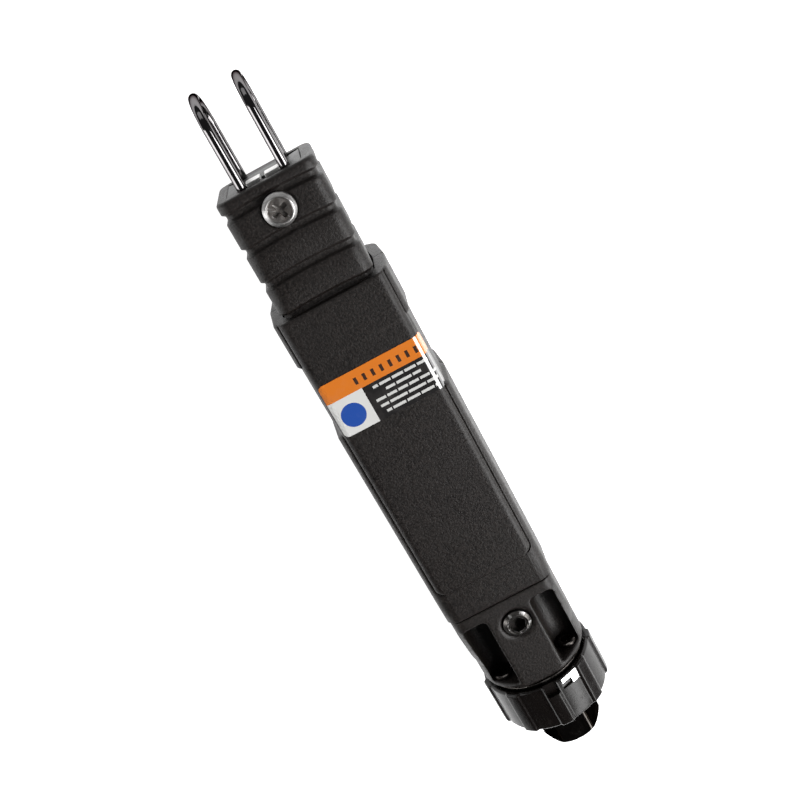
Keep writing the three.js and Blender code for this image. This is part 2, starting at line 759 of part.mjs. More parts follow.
function ringClip() {
  const low = ringStepBottom - gap - clipThickness;
  const ring = tubeY(flangeTubeRadius - clipGroove + gap / 2, clipRadius, low, ringStepBottom - gap);
  return ring.subtract(block(
    -clipSplitHalf, clipSplitHalf, low - 1, ringStepBottom + 1, -20, axisHeight - 5));
}

function spindle() {
  const corner = hexAcrossFlats / Math.sqrt(3);
  const blank = alongY(hexagon(hexAcrossFlats, 0, axisHeight), spindleEnd, hexRear);
  const chamfered = turned([
    [0, spindleEnd], [hexAcrossFlats / 2 - hexChamfer / 2, spindleEnd],
    [corner + 0.1, spindleEnd + hexChamfer], [corner + 0.1, hexRear + 1], [0, hexRear + 1],
  ], 48);
  const shaft = turned([
    [0, hexRear - 1], [shankRadius, hexRear - 1], [shankRadius, collarTop - collarLength],
    [collarRadius, collarTop - collarLength], [collarRadius, collarTop],
    [tailRadius, collarTop], [tailRadius, plateFront - 0.5], [0, plateFront - 0.5],
  ], 40);
  const socket = rodY(socketRadius, spindleEnd - 1, spindleEnd + socketDepth, 32);
  return blank.intersect(chamfered).add(shaft).subtract(socket);
}

function hammer() {
  const body = turned([
    [0, hammerBottom], [barrelBore - runningGap, hammerBottom], [barrelBore - runningGap, hammerTop],
    [springGuideRadius, hammerTop], [springGuideRadius, hammerTop + springGuideLength],
    [0, hammerTop + springGuideLength],
  ], 48);
  const bore = rodY(tailRadius + tailRoom, hammerBottom - 1,
    hammerBottom + stroke + tailOvertravel, 32);
  const slot = block(plateSlotBack, barrelBore, plateFront - plateRoom,
    plateFront + plateThickness + plateRoom, axisHeight - plateHalfDepth - plateRoom,
    axisHeight + plateHalfDepth + plateRoom);
  const springPocket = rodX(tripPocketRadius, camY, axisHeight,
    plateSlotBack - tripPocketDepth, plateSlotBack + 1, 20);
  const keyway = block(plateShoulder + plateRoom, barrelBore + 1,
    hammerBottom - 1, hammerBottom + camLength,
    axisHeight - camHalfDepth - gap, axisHeight + camHalfDepth + gap);
  return body.subtract(bore).subtract(slot).subtract(springPocket).subtract(keyway);
}

function tripPlate() {
  const web = block(plateBack, plateShoulder, plateFront, plateFront + plateThickness,
    axisHeight - plateHalfDepth, axisHeight + plateHalfDepth);
  const nose = block(plateShoulder - 0.5, plateNose, plateFront, plateFront + plateThickness,
    axisHeight - plateNoseHalf, axisHeight + plateNoseHalf);
  const hole = rodY(plateHole, plateFront - 1, plateFront + plateThickness + 1, 32, plateTravel);
  return web.add(nose).subtract(hole);
}

// Fixed ramp beside the hammer. Its sloping face pushes the trip plate as the hammer goes back.
function tripCam() {
  const inner = (y) => plateNose + gap + plateRoom - camSlope * (y - camY);
  const low = hammerBottom - camLead;
  const high = low + camLength;
  const outer = cavityHalfWidth - gap;
  const shape = [[inner(low), low], [outer, low], [outer, high], [inner(high), high]];
  return alongZ(shape.map(([x, y]) => new THREE.Vector2(x, y)),
    axisHeight - camHalfDepth, axisHeight + camHalfDepth);
}

function barrel() {
  const slot = block(0, 30, barrelBottom - 1, hammerBottom + camLength + 1,
    axisHeight - camHalfDepth - gap, axisHeight + camHalfDepth + gap);
  return tubeY(barrelBore, barrelBore + barrelWall, barrelBottom, barrelTop).subtract(slot);
}

function springSeat() {
  return turned([
    [0, seatBottom - springGuideLength], [springGuideRadius, seatBottom - springGuideLength],
    [springGuideRadius, seatBottom], [barrelBore - runningGap, seatBottom],
    [barrelBore - runningGap, seatBottom + seatThickness], [0, seatBottom + seatThickness],
  ], 40);
}

function tensionScrew() {
  const plug = rodY(barrelBore - runningGap, plugBottom, barrelTop, 48);
  return plug.subtract(block(-plugSlotHalf, plugSlotHalf, barrelTop - plugSlotDepth, barrelTop + 1,
    axisHeight - plugSlotWidth / 2, axisHeight + plugSlotWidth / 2));
}

function barrelCap() {
  const reach = barrelBore + barrelWall;
  return alongY(outline([
    [-reach, axisHeight - reach, capCorner], [reach, axisHeight - reach, capCorner],
    [reach, axisHeight + reach, capCorner], [-reach, axisHeight + reach, capCorner],
  ]), barrelTop + gap, barrelTop + gap + capThickness)
    .subtract(rodY(capHole, barrelTop, barrelTop + capThickness + 1, 32));
}

function caseScrew(x, y) {
  const headTop = wall / 2;
  const shank = rodZ(caseScrewRadius, x, y, headTop - 2 * gap, caseFrontZ - wall - gap, 16);
  const head = rodZ(caseScrewHead, x, y, gap, headTop - gap + 0.1, 20);
  return head.add(shank);
}

function yCentred(geometry) {
  geometry.translate(0, 0, axisHeight);
  return geometry;
}

piece("front_shell", frontShell(), "casing");
piece("rear_shell", backShell(), "casing");
piece("nose_housing", noseHousing(), "casing");
piece("tail_grip", tailGrip(), "grip");
piece("guide_plate", guidePlate(), "grip");
piece("clamp_block", clampBlock(), "zinc");
piece("clamp_plate", clampPlate(), "steel");
piece("clamp_screw", clampScrew(), "steel");
piece("hook_left", hook(-hookX), "chrome");
piece("hook_right", hook(hookX), "chrome");
piece("label", block(-labelHalfWidth, labelHalfWidth, labelTop - labelLength, labelTop,
  panelFront, panelFront + labelThickness), "label");
piece("set_screw", setScrew(), "steel");
[[-1, 1], [1, 1], [1, -1], [-1, -1]].forEach(([sideX, sideZ], i) => {
  piece(`nose_screw_${i + 1}`, axialScrew(sideX * pocketX, sideZ * pocketZ), "darkSteel");
});
caseScrewPlaces().forEach(([x, y], i) => piece(`case_screw_${i + 1}`, caseScrew(x, y), "darkSteel"));
piece("nose_flange", noseFlange(), "darkSteel");
piece("wave_washer", tubeY(flangeTubeRadius + runningGap, flangeRadius,
  ringStepTop + springGap, ringStepTop + springGap + washerThickness), "spring");
piece("ring_clip", ringClip(), "steel");
piece("lock_ring", lockRing(), "collar");
piece("index_tab", indexTab(), "chrome");
piece("nose_bushing", turned([
  [shankRadius + runningGap, noseBottom - gap - bushFlange],
  [bushFlangeRadius, noseBottom - gap - bushFlange], [bushFlangeRadius, noseBottom - gap],
  [bushRadius, noseBottom - gap], [bushRadius, bushEnd], [shankRadius + runningGap, bushEnd],
  [shankRadius + runningGap, noseBottom - gap - bushFlange],
]), "bronze");
piece("bumper_ring", tubeY(shankRadius + runningGap, bushRadius, bushEnd + gap,
  bushEnd + gap + bumperLength), "rubber");
piece("spindle", spindle(), "darkSteel");
piece("return_spring", yCentred(coil(returnCoilRadius, returnWire,
  collarTop + springGap, hammerBottom - springGap, returnTurns)), "spring");
piece("hammer", hammer(), "steel");
piece("trip_plate", tripPlate(), "steel");
const tripSpringLength = plateBack - plateSlotBack + tripPocketDepth - 4 * springGap;
const tripSpring = coil(tripCoilRadius, tripWire, 0, tripSpringLength, tripTurns, 6, 10);
tripSpring.rotateZ(Math.PI / 2);
tripSpring.translate(plateBack - 3 * springGap, camY, axisHeight);
piece("trip_spring", tripSpring, "spring");
piece("trip_cam", tripCam(), "steel");
piece("barrel", barrel(), "steel");
piece("main_spring", yCentred(coil(
  mainCoilRadius, mainWire, hammerTop + springGap, seatBottom - springGap, mainTurns)), "spring");
piece("spring_seat", springSeat(), "steel");
piece("tension_screw", tensionScrew(), "steel");
piece("barrel_cap", barrelCap(), "steel");

export default tool;
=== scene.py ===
# Hand-held impact punch down tool lying on its flat back.
# +Y runs along the tool towards the wire hooks, +Z comes out of the front panel.
import math

import bmesh
import bpy
from mathutils import Matrix, Vector


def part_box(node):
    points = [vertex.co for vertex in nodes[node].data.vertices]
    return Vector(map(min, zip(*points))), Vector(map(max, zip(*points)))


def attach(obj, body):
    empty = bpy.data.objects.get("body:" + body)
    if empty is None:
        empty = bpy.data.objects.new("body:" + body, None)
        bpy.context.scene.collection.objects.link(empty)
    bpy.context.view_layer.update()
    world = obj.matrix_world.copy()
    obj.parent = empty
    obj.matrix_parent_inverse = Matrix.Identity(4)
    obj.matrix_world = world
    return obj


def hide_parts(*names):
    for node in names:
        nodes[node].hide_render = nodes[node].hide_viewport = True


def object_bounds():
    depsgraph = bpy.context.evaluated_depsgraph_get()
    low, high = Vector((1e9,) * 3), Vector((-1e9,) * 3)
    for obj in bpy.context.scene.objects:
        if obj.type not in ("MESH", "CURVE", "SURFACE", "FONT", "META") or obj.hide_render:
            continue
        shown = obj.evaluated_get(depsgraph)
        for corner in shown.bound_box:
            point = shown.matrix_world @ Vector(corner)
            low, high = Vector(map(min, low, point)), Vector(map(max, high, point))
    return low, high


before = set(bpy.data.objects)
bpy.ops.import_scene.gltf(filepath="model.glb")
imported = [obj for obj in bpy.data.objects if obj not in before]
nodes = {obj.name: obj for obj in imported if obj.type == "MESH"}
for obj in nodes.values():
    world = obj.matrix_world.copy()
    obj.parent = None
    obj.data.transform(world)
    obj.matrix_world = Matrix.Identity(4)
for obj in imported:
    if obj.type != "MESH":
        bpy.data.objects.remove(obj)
startBox = [list(corner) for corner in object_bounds()]
mm = 0.001


def boxOf(node):
    low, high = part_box(node)
    return low / mm, high / mm


def centreOf(node):
    low, high = boxOf(node)
    return (low + high) / 2


frontLow, frontHigh = boxOf("front_shell")
rearLow, rearHigh = boxOf("rear_shell")
noseLow, noseHigh = boxOf("nose_housing")
ringLow, ringHigh = boxOf("lock_ring")
gripLow, gripHigh = boxOf("tail_grip")
axisZ = (ringLow.z + ringHigh.z) / 2    # centre line of the mechanism
outside = 60       # beyond the front face, for cutters
clearance = 0.3    # between neighbouring parts
print("frame loaded")


# ---- mesh tools ----

def meshPiece(name, vertices, faces):
    mesh = bpy.data.meshes.new(name)
    mesh.from_pydata([(x * mm, y * mm, z * mm) for x, y, z in vertices], [], faces)
    piece = bpy.data.objects.new(name, mesh)
    bpy.context.collection.objects.link(piece)
    return piece


def tidyMesh(piece, sharpAngle=32, merge=1e-6):
    # outward normals, smooth faces, hard edges only where the surface really turns
    mesh = bmesh.new()
    mesh.from_mesh(piece.data)
    bmesh.ops.remove_doubles(mesh, verts=mesh.verts, dist=merge)
    bmesh.ops.recalc_face_normals(mesh, faces=mesh.faces)
    for face in mesh.faces:
        face.smooth = True
    for edge in mesh.edges:
        edge.smooth = edge.calc_face_angle(0) < math.radians(sharpAngle)
    mesh.to_mesh(piece.data)
    mesh.free()
    return piece


def applyModifiers(piece):
    graph = bpy.context.evaluated_depsgraph_get()
    mesh = bpy.data.meshes.new_from_object(piece.evaluated_get(graph))
    old = piece.data
    piece.modifiers.clear()
    piece.data = mesh
    bpy.data.meshes.remove(old)
    return piece


def combine(piece, others, operation="DIFFERENCE"):
    for other in others:
        modifier = piece.modifiers.new(operation.lower(), "BOOLEAN")
        modifier.operation = operation
        modifier.solver = "EXACT"
        modifier.object = other
    applyModifiers(piece)
    for other in others:
        bpy.data.objects.remove(other)
    return piece


def bevelled(piece, width, segments=3, angle=32):
    modifier = piece.modifiers.new("edges", "BEVEL")
    modifier.width = width * mm
    modifier.segments = segments
    modifier.limit_method = "ANGLE"
    modifier.angle_limit = math.radians(angle)
    modifier.use_clamp_overlap = True
    return applyModifiers(piece)


def moulded(piece, voxel, rounds):
    # even skin with the soft edges of a moulding
    remesh = piece.modifiers.new("skin", "REMESH")
    remesh.mode = "VOXEL"
    remesh.voxel_size = voxel * mm
    smooth = piece.modifiers.new("soft", "SMOOTH")
    smooth.factor = 0.5
    smooth.iterations = rounds
    return applyModifiers(piece)


def loft(name, rings, wrap=False):
    count = len(rings[0])
    vertices = [point for ring in rings for point in ring]
    faces = []
    pairs = len(rings) if wrap else len(rings) - 1
    for i in range(pairs):
        low, high = i * count, (i + 1) % len(rings) * count
        for k in range(count):
            after = (k + 1) % count
            faces.append((low + k, low + after, high + after, high + k))
    if not wrap:
        faces.append(tuple(range(count)))
        faces.append(tuple(range((len(rings) - 1) * count, len(rings) * count)))
    return meshPiece(name, vertices, faces)


def shellLoft(name, outerRings, innerRings):
    # open channel: each ring runs along the outside and back along the inside
    count = len(outerRings[0])
    rings = [outer + inner[::-1] for outer, inner in zip(outerRings, innerRings)]
    total = 2 * count
    vertices = [point for ring in rings for point in ring]
    faces = []
    for i in range(len(rings) - 1):
        for k in range(total):
            after = (k + 1) % total
            faces.append((i * total + k, i * total + after,
                          (i + 1) * total + after, (i + 1) * total + k))
    for start in (0, (len(rings) - 1) * total):
        for k in range(count - 1):
            faces.append((start + k, start + k + 1, start + total - 2 - k, start + total - 1 - k))
    return meshPiece(name, vertices, faces)


def alongY(x=0.0, z=None):
    # places a turned profile on a line parallel to the tool
    height = axisZ if z is None else z
    return lambda radius, angle, run: (
        x + radius * math.sin(angle), run, height + radius * math.cos(angle))


def alongZ(x, y):
    return lambda radius, angle, run: (
        x + radius * math.cos(angle), y + radius * math.sin(angle), run)


def turned(name, profile, place, steps=72, wrap=False):
    # profile is a list of (radius, run along the axis)
    rings = []
    for radius, run in profile:
        rings.append([place(max(radius, 1e-4), 2 * math.pi * k / steps, run)
                      for k in range(steps)])
    return loft(name, rings, wrap)


def rounded(corners, steps=6, closed=True):
    # corners are (a, b, radius); each radius becomes an arc
    points = []
    total = len(corners)
    for i, corner in enumerate(corners):
        here = Vector(corner[:2])
        radius = corner[2] if len(corner) > 2 else 0
        atEnd = not closed and i in (0, total - 1)
        if radius == 0 or atEnd:
            points.append(tuple(here))
            continue
        back = (Vector(corners[i - 1][:2]) - here).normalized()
        ahead = (Vector(corners[(i + 1) % total][:2]) - here).normalized()
        half = back.angle(ahead) / 2
        start = here + back * radius / math.tan(half)
        centre = here + (back + ahead).normalized() * radius / math.sin(half)
        turn = math.pi - 2 * half
        side = 1 if back.x * ahead.y - back.y * ahead.x > 0 else -1
        for k in range(steps + 1):
            spoke = Matrix.Rotation(-side * turn * k / steps, 2) @ (start - centre)
            points.append(tuple(centre + spoke))
    return points


def cylinder(name, radius, low, high, place, steps=40):
    profile = [(0, low), (radius, low), (radius, high), (0, high)]
    return tidyMesh(turned(name, profile, place, steps))


def slab(name, outline, low, high, place):
    # flat outline pushed from low to high
    return loft(name, [[place(a, b, run) for a, b in outline] for run in (low, high)])


def facingFront(a, b, run):
    return (a, b, run)


def facingEnd(a, b, run):
    return (a, run, b)


def brick(name, low, high):
    outline = [(low[0], low[1]), (high[0], low[1]), (high[0], high[1]), (low[0], high[1])]
    return slab(name, outline, low[2], high[2], facingFront)


def circle(x, y, radius, count, turn=0):
    # corners of a regular outline, turned by a number of degrees
    angles = [2 * math.pi / count * k + math.radians(turn) for k in range(count)]
    return [(x + radius * math.cos(angle), y + radius * math.sin(angle)) for angle in angles]


def rise(value, at, width):
    # smooth 0 to 1 step centred on a place
    share = min(max((value - at) / width + 0.5, 0), 1)
    return share * share * (3 - 2 * share)


def quarterInset(distance, radius):
    # how far a rounded edge falls back at a distance from the end face
    if distance >= radius:
        return 0.0
    return radius - math.sqrt(max(radius ** 2 - (radius - distance) ** 2, 0))


def stations(low, high, softPlaces, endRadius=0.5, spacing=5.0, steps=8):
    places = {low, high}
    runs = max(int((high - low) / spacing), 1)
    places.update(low + (high - low) * i / runs for i in range(runs + 1))
    for i in range(steps + 1):
        bend = endRadius * (1 - math.cos(math.pi / 2 * i / steps))
        places.update((low + bend, high - bend))
        for at, width in softPlaces:
            places.add(at - width / 2 + width * i / steps)
    kept = []
    for place in sorted(p for p in places if low <= p <= high):
        if not kept or place - kept[-1] > 0.004:
            kept.append(place)
    kept[-1] = high
    return kept


# ---- finishes ----

class Link:
    # one shader value; arithmetic on it adds Math nodes
    def __init__(self, finish, socket):
        self.finish = finish
        self.socket = socket

    def maths(self, operation, *others):
        inputs = dict(enumerate((self, *others)))
        return self.finish.node("ShaderNodeMath", {"operation": operation}, inputs)

    def turnedMaths(self, operation, first):
        return self.finish.node("ShaderNodeMath", {"operation": operation}, {0: first, 1: self})

    def clamped(self):
        return self.finish.node("ShaderNodeClamp", {}, {"Value": self})

    def ramped(self, low, high):
        # 0 at low, 1 at high, straight between
        return self.finish.node("ShaderNodeMapRange", {}, {
            "Value": self, "From Min": low, "From Max": high})


def arithmetic(operation, reflected=False):
    if reflected:
        return lambda link, other: link.turnedMaths(operation, other)
    return lambda link, other: link.maths(operation, other)


for sign, operation in (("add", "ADD"), ("sub", "SUBTRACT"), ("mul", "MULTIPLY"),
                        ("truediv", "DIVIDE"), ("pow", "POWER"), ("mod", "MODULO")):
    setattr(Link, f"__{sign}__", arithmetic(operation))
    setattr(Link, f"__r{sign}__", arithmetic(operation, True))
Link.__gt__ = arithmetic("GREATER_THAN")
Link.__lt__ = arithmetic("LESS_THAN")


class Finish:
    # one material, built node by node
    def __init__(self, name):
        self.material = bpy.data.materials.new(name)
        self.material.use_nodes = True
        self.tree = self.material.node_tree
        self.surface = self.tree.nodes["Principled BSDF"]
        self.coordinates = None

    def node(self, kind, settings, inputs, output=0):
        made = self.tree.nodes.new(kind)
        for key, value in settings.items():
            setattr(made, key, value)
        for key, value in inputs.items():
            self.feed(made.inputs[key], value)
        return Link(self, made.outputs[output])

    def feed(self, socket, value):
        if isinstance(value, Link):
            self.tree.links.new(value.socket, socket)
        elif isinstance(value, (tuple, list)) and len(value) == 3 and socket.type == "RGBA":
            socket.default_value = (*value, 1)
        else:
            socket.default_value = value

    def place(self):
        # place in the tool's frame, in metres
        if self.coordinates is None:
            self.coordinates = self.node("ShaderNodeTexCoord", {}, {}, "Object")
        return self.coordinates

    def axes(self):
        return [self.node("ShaderNodeSeparateXYZ", {}, {0: self.place()}, i) for i in range(3)]

    def noise(self, size, detail=2.0, roughness=0.5, distortion=0.0, stretch=None):
        # size is the width of one blotch in millimetres
        where = self.place()
        if stretch:
            where = self.node("ShaderNodeVectorMath", {"operation": "MULTIPLY"}, {
                0: where, 1: stretch})
        return self.node("ShaderNodeTexNoise", {}, {
            "Vector": where, "Scale": 1 / (size * mm), "Detail": detail,
            "Roughness": roughness, "Distortion": distortion}, 0)

    def mix(self, share, first, second):
        return self.node("ShaderNodeMix", {"data_type": "RGBA"}, {
            0: share, 6: first, 7: second}, 2)

    def bump(self, height, depth):
        # depth in millimetres
        return self.node("ShaderNodeBump", {}, {"Height": height, "Distance": depth * mm})

    def wear(self, reach=0.5):
        # 1 on outside edges, 0 on flats
        rim = self.node("ShaderNodeNewGeometry", {}, {}, "Pointiness")
        return rim.ramped(0.5 + 0.02 / reach * 0.5, 0.5 + 0.1 / reach * 0.5).clamped()

    def set(self, **values):
        for key, value in values.items():
            self.feed(self.surface.inputs[key.replace("_", " ")], value)


def textured(name, look):
    # moulded plastic with a spark-eroded grain
    finish = Finish(name)
    grain = finish.noise(look["grain"], 3.0, 0.6)
    fine = finish.noise(look["grain"] * 0.4, 2.0, 0.5)
    cloud = finish.noise(look["cloud"], 2.0, 0.5)
    speckle = grain.ramped(0.42, 0.66).clamped()
    shade = finish.mix(speckle * look["speckle"], look["colour"], look["light"])
    shade = finish.mix(cloud.ramped(0.35, 0.7).clamped() * look["cloudShare"], shade, look["dust"])
    rough = look["rough"] + (cloud - 0.5) * look["roughCloud"] + (grain - 0.5) * look["roughGrain"]
    pebble = finish.bump(grain * 0.75 + fine * 0.25, look["depth"])
    finish.set(Base_Color=shade, Roughness=rough.clamped(), Normal=pebble,
               Specular_IOR_Level=look["specular"])
    return finish.material


casingLook = {
    "colour": (0.0048, 0.0035, 0.0030), "light": (0.026, 0.0195, 0.0165),
    "dust": (0.0105, 0.008, 0.007),
    "speckle": 0.55, "grain": 0.6, "cloud": 14, "cloudShare": 0.35, "rough": 0.46,
    "roughCloud": 0.12, "roughGrain": 0.4, "depth": 0.16, "specular": 0.36,
}
# painted light: the guide plate, the tool's top face, gets a lighter, cooler grey copy of the
# casing plastic to stand for the light it catches from above
litPlateLook = dict(casingLook, colour=(0.022, 0.023, 0.023), light=(0.05, 0.052, 0.052), rough=0.45,
                 depth=0.03)
casing = textured("casing plastic", casingLook)
gripPlastic = textured("grip plastic", casingLook)
litPlatePlastic = textured("guide plate plastic painted lit", litPlateLook)


def glossyPlastic(name, look):
    finish = Finish(name)
    cloud = finish.noise(look["cloud"], 3.0, 0.55)
    scuff = finish.noise(look["scuff"], 4.0, 0.7, 0.6, (1, 0.25, 1))
    ripple = finish.noise(look["ripple"], 2.0, 0.5)
    marks = scuff.ramped(0.56, 0.72).clamped()
    shade = finish.mix(marks * 0.4, look["colour"], look["worn"])
    rough = look["rough"] + (cloud - 0.5) * 0.12 + marks * 0.14
    finish.set(Base_Color=shade, Roughness=rough.clamped(), Specular_IOR_Level=0.28,
               Normal=finish.bump(ripple + scuff * 0.3, look["depth"]))
    return finish.material


collarLook = {
    "colour": (0.0055, 0.0042, 0.0037), "worn": (0.016, 0.0125, 0.011), "cloud": 6, "scuff": 1.1,
    "ripple": 1.6, "depth": 0.02, "rough": 0.26,
}
collarPlastic = glossyPlastic("collar plastic", collarLook)
rubber = textured("bumper rubber", dict(casingLook, grain=0.7, rough=0.8, specular=0.3))


def metal(name, look):
    # cast, drawn or machined metal: fine lines one way, dull patches, brighter worn edges
    finish = Finish(name)
    lines = finish.noise(look["line"], 2.0, 0.6, 0.0, look["stretch"])
    patch = finish.noise(look["patch"], 4.0, 0.6)
    pits = finish.noise(look["line"] * 0.6, 3.0, 0.7)
    dull = patch.ramped(0.45, 0.7).clamped()
    shade = finish.mix(dull * look["dullShare"], look["colour"], look["dullColour"])
    shade = finish.mix(finish.wear() * look["edge"], shade, look["bright"])
    rough = look["rough"] + dull * look["dullRough"] + (lines - 0.5) * look["lineRough"]
    finish.set(Base_Color=shade, Metallic=1.0, Roughness=rough.clamped(),
               Specular_Tint=look["rim"], Normal=finish.bump(lines + pits * 0.4, look["depth"]))
    return finish.material


steelLook = {
    "colour": (0.50, 0.49, 0.48), "dullColour": (0.28, 0.26, 0.24), "bright": (0.75, 0.74, 0.73),
    "line": 0.35, "stretch": (1, 0.2, 1), "patch": 5, "dullShare": 0.6, "edge": 0.7,
    "rough": 0.28, "dullRough": 0.2, "lineRough": 0.2, "depth": 0.01, "rim": (1, 1, 1, 1),
}
steel = metal("machined steel", steelLook)
springSteel = metal("spring wire", dict(steelLook, colour=(0.36, 0.36, 0.35), line=0.2,
                                        stretch=(1, 1, 1), rough=0.24))
zincCast = metal("die-cast zinc", dict(
    steelLook, colour=(0.66, 0.68, 0.66), dullColour=(0.42, 0.43, 0.41), line=0.5,
    stretch=(1, 1, 1), rough=0.36, depth=0.03))
blackOxide = metal("black-oxide steel", dict(
    steelLook, colour=(0.050, 0.045, 0.042), dullColour=(0.025, 0.023, 0.022),
    bright=(0.30, 0.28, 0.26), rough=0.24, edge=0.8, dullRough=0.12, rim=(0.1, 0.1, 0.1, 1)))
bronze = metal("sintered bronze", dict(
    steelLook, colour=(0.50, 0.34, 0.16), dullColour=(0.28, 0.19, 0.10), bright=(0.7, 0.5, 0.28),
    line=0.25, stretch=(1, 1, 1), depth=0.03))
brightPlate = metal("polished plate", dict(
    steelLook, colour=(0.95, 0.95, 0.95), dullColour=(0.85, 0.85, 0.85), bright=(1, 1, 1),
    rough=0.22, dullRough=0.1, depth=0.004))
darkChrome = metal("dark chrome", dict(
    steelLook, colour=(0.19, 0.182, 0.185), dullColour=(0.10, 0.095, 0.095), bright=(0.4, 0.4, 0.4),
    line=0.5, patch=9, dullShare=0.5, edge=0.2, rough=0.05, dullRough=0.08, lineRough=0.03,
    stretch=(1, 0.15, 1), depth=0.004, rim=(0.05, 0.04, 0.04, 1)))
print("finishes made")


def finishPiece(piece, material, body, slotName, *replaced):
    piece.data.materials.clear()
    piece.data.materials.append(material)
    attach(piece, body)
    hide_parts(*replaced)
    return piece


# ---- case ----

case = {
    "sleeveLength": 12.8,     # wider collar round the tail grip
    "neckLength": 20.4,       # narrower stretch under the label
    "neckInset": 1.0,         # from the body
    "sleeveInset": 0.25,      # from the body
    "sleeveRise": 0.1,
    "draft": 0.7,
    "frontRadius": 3.2,
    "backRadius": 6.0,
    "panelRise": 0.7,
    "panelInset": 2.2,        # panel edge from the side of the body
    "panelAbove": 9.8,        # panel's lower end above the end of the case
    "panelCorner": 2.2,       # seen from the front
    "panelEdge": 1.9,         # rounding of its long edges
    "panelStep": 0.7,
    "shoulder": 1.1,          # length of the soft steps in width
    "endRadius": 0.6,
    "lowRadius": 0.9,
    "wall": 2.0,
    "seamEdge": 0.25,
}
caseTop, caseBottom = frontHigh.y, frontLow.y
sleeveEdge = caseTop - case["sleeveLength"]
neckEdge = sleeveEdge - case["neckLength"]
panelEnd = caseBottom + case["panelAbove"]
caseFrontZ = frontHigh.z - case["panelRise"]


def caseHalf(y):
    body, shoulder = frontHigh.x, case["shoulder"]
    sleeve, neck = body - case["sleeveInset"], body - case["neckInset"]
    half = body + (neck - body) * rise(y, neckEdge + shoulder / 2, shoulder)
    return half + (sleeve - neck) * rise(y, sleeveEdge + shoulder / 2, shoulder)


def endInset(y):
    return (quarterInset(caseTop - y, case["endRadius"])
            + quarterInset(y - caseBottom, case["lowRadius"]))


def frontHalfPath(y):
    # right half of the front section, from the parting plane to the middle
    inset = endInset(y)
    half = caseHalf(y) - inset
    lift = case["sleeveRise"] * rise(y, sleeveEdge + 0.4, 0.8)
    flat = caseFrontZ - inset
    panel = frontHigh.z - case["sleeveRise"] + lift - inset
    radius = case["frontRadius"]
    centreX, centreZ = half - case["draft"] - radius, flat - radius
    corner = case["panelCorner"]
    panelHalf = frontHigh.x - case["panelInset"] - quarterInset(y - panelEnd, corner)
    share = rise(y, panelEnd, case["panelStep"])
    edge = case["panelEdge"]

    def baseZ(x):
        if x <= centreX:
            return flat
        return centreZ + math.sqrt(max(radius ** 2 - (x - centreX) ** 2, 0))

    parting = frontLow.z
    points = [(half - case["seamEdge"], parting), (half - 0.08, parting + 0.08),
              (half, parting + case["seamEdge"])]
    for i in range(1, 5):
        part = i / 4
        points.append((half - case["draft"] * part, parting + (centreZ - parting) * part))
    foot = panelHalf + 0.25
    reach = math.acos(min(max((foot - centreX) / radius, -1), 1))
    for i in range(1, 9):
        angle = reach * i / 8
        points.append((centreX + radius * math.cos(angle), centreZ + radius * math.sin(angle)))
    shelf = baseZ(foot)
    for part in (0.12, 0.45, 0.8):
        x = foot - 0.25 * part
        wall = shelf + (panel - edge - shelf) * part
        points.append((x, baseZ(x) + (max(wall, shelf) - baseZ(x)) * share))
    for i in range(10):
        angle = math.pi / 2 * i / 9
        x = panelHalf - edge + edge * math.cos(angle)
        top = panel - edge + edge * math.sin(angle)
        points.append((x, baseZ(x) + (top - baseZ(x)) * share))
    start = panelHalf - edge
    for part in (0.06, 0.12, 0.2, 0.3, 0.5, 0.75, 1):
        x = start * (1 - part)
        points.append((x, baseZ(x) + (panel - baseZ(x)) * share))
    return points


def frontRing(y):
    path = frontHalfPath(y)
    outer = [(x, y, z) for x, z in path] + [(-x, y, z) for x, z in path[-2::-1]]
    cavityHalf = frontHigh.x - case["draft"] - case["wall"]
    low, high = frontLow.z, caseFrontZ - case["wall"]
    half, top = caseHalf(y), frontHigh.z
    inner = [(x * cavityHalf / half, y, low + (z - low) * (high - low) / (top - low))
             for x, _, z in outer]
    return outer, inner


def rearRing(y):
    inset = endInset(y)
    half, radius = caseHalf(y) - inset, case["backRadius"]
    parting, back = rearHigh.z, rearLow.z + inset * 0.6
    centreX, centreZ = half - case["draft"] - radius, back + radius
    path = [(half - case["seamEdge"], parting), (half - 0.08, parting - 0.08),
            (half, parting - case["seamEdge"])]
    for i in range(1, 4):
        part = i / 3
        path.append((half - case["draft"] * part, parting + (centreZ - parting) * part))
    for i in range(1, 13):
        angle = math.pi / 2 * i / 12
        path.append((centreX + radius * math.cos(angle), centreZ - radius * math.sin(angle)))
    for part in (0.4, 0.8, 1):
        path.append((centreX * (1 - part), back))
    outer = [(x, y, z) for x, z in path] + [(-x, y, z) for x, z in path[-2::-1]]
    cavityHalf = frontHigh.x - case["draft"] - case["wall"]
    scale = (parting - case["wall"]) / parting
    inner = [(x * cavityHalf / caseHalf(y), y, parting + (z - parting) * scale)
             for x, _, z in outer]
    return outer, inner


caseStations = stations(caseBottom, caseTop, [
    (sleeveEdge + case["shoulder"] / 2, case["shoulder"]),
    (neckEdge + case["shoulder"] / 2, case["shoulder"]),
    (panelEnd, case["panelStep"]),
    (panelEnd + case["panelCorner"] / 2, case["panelCorner"]),
], case["endRadius"])
frontRings = [frontRing(y) for y in caseStations]
frontShell = shellLoft("front-shell", [r[0] for r in frontRings], [r[1] for r in frontRings])
finishPiece(tidyMesh(frontShell, 50), casing, "root", "casing", "front_shell")

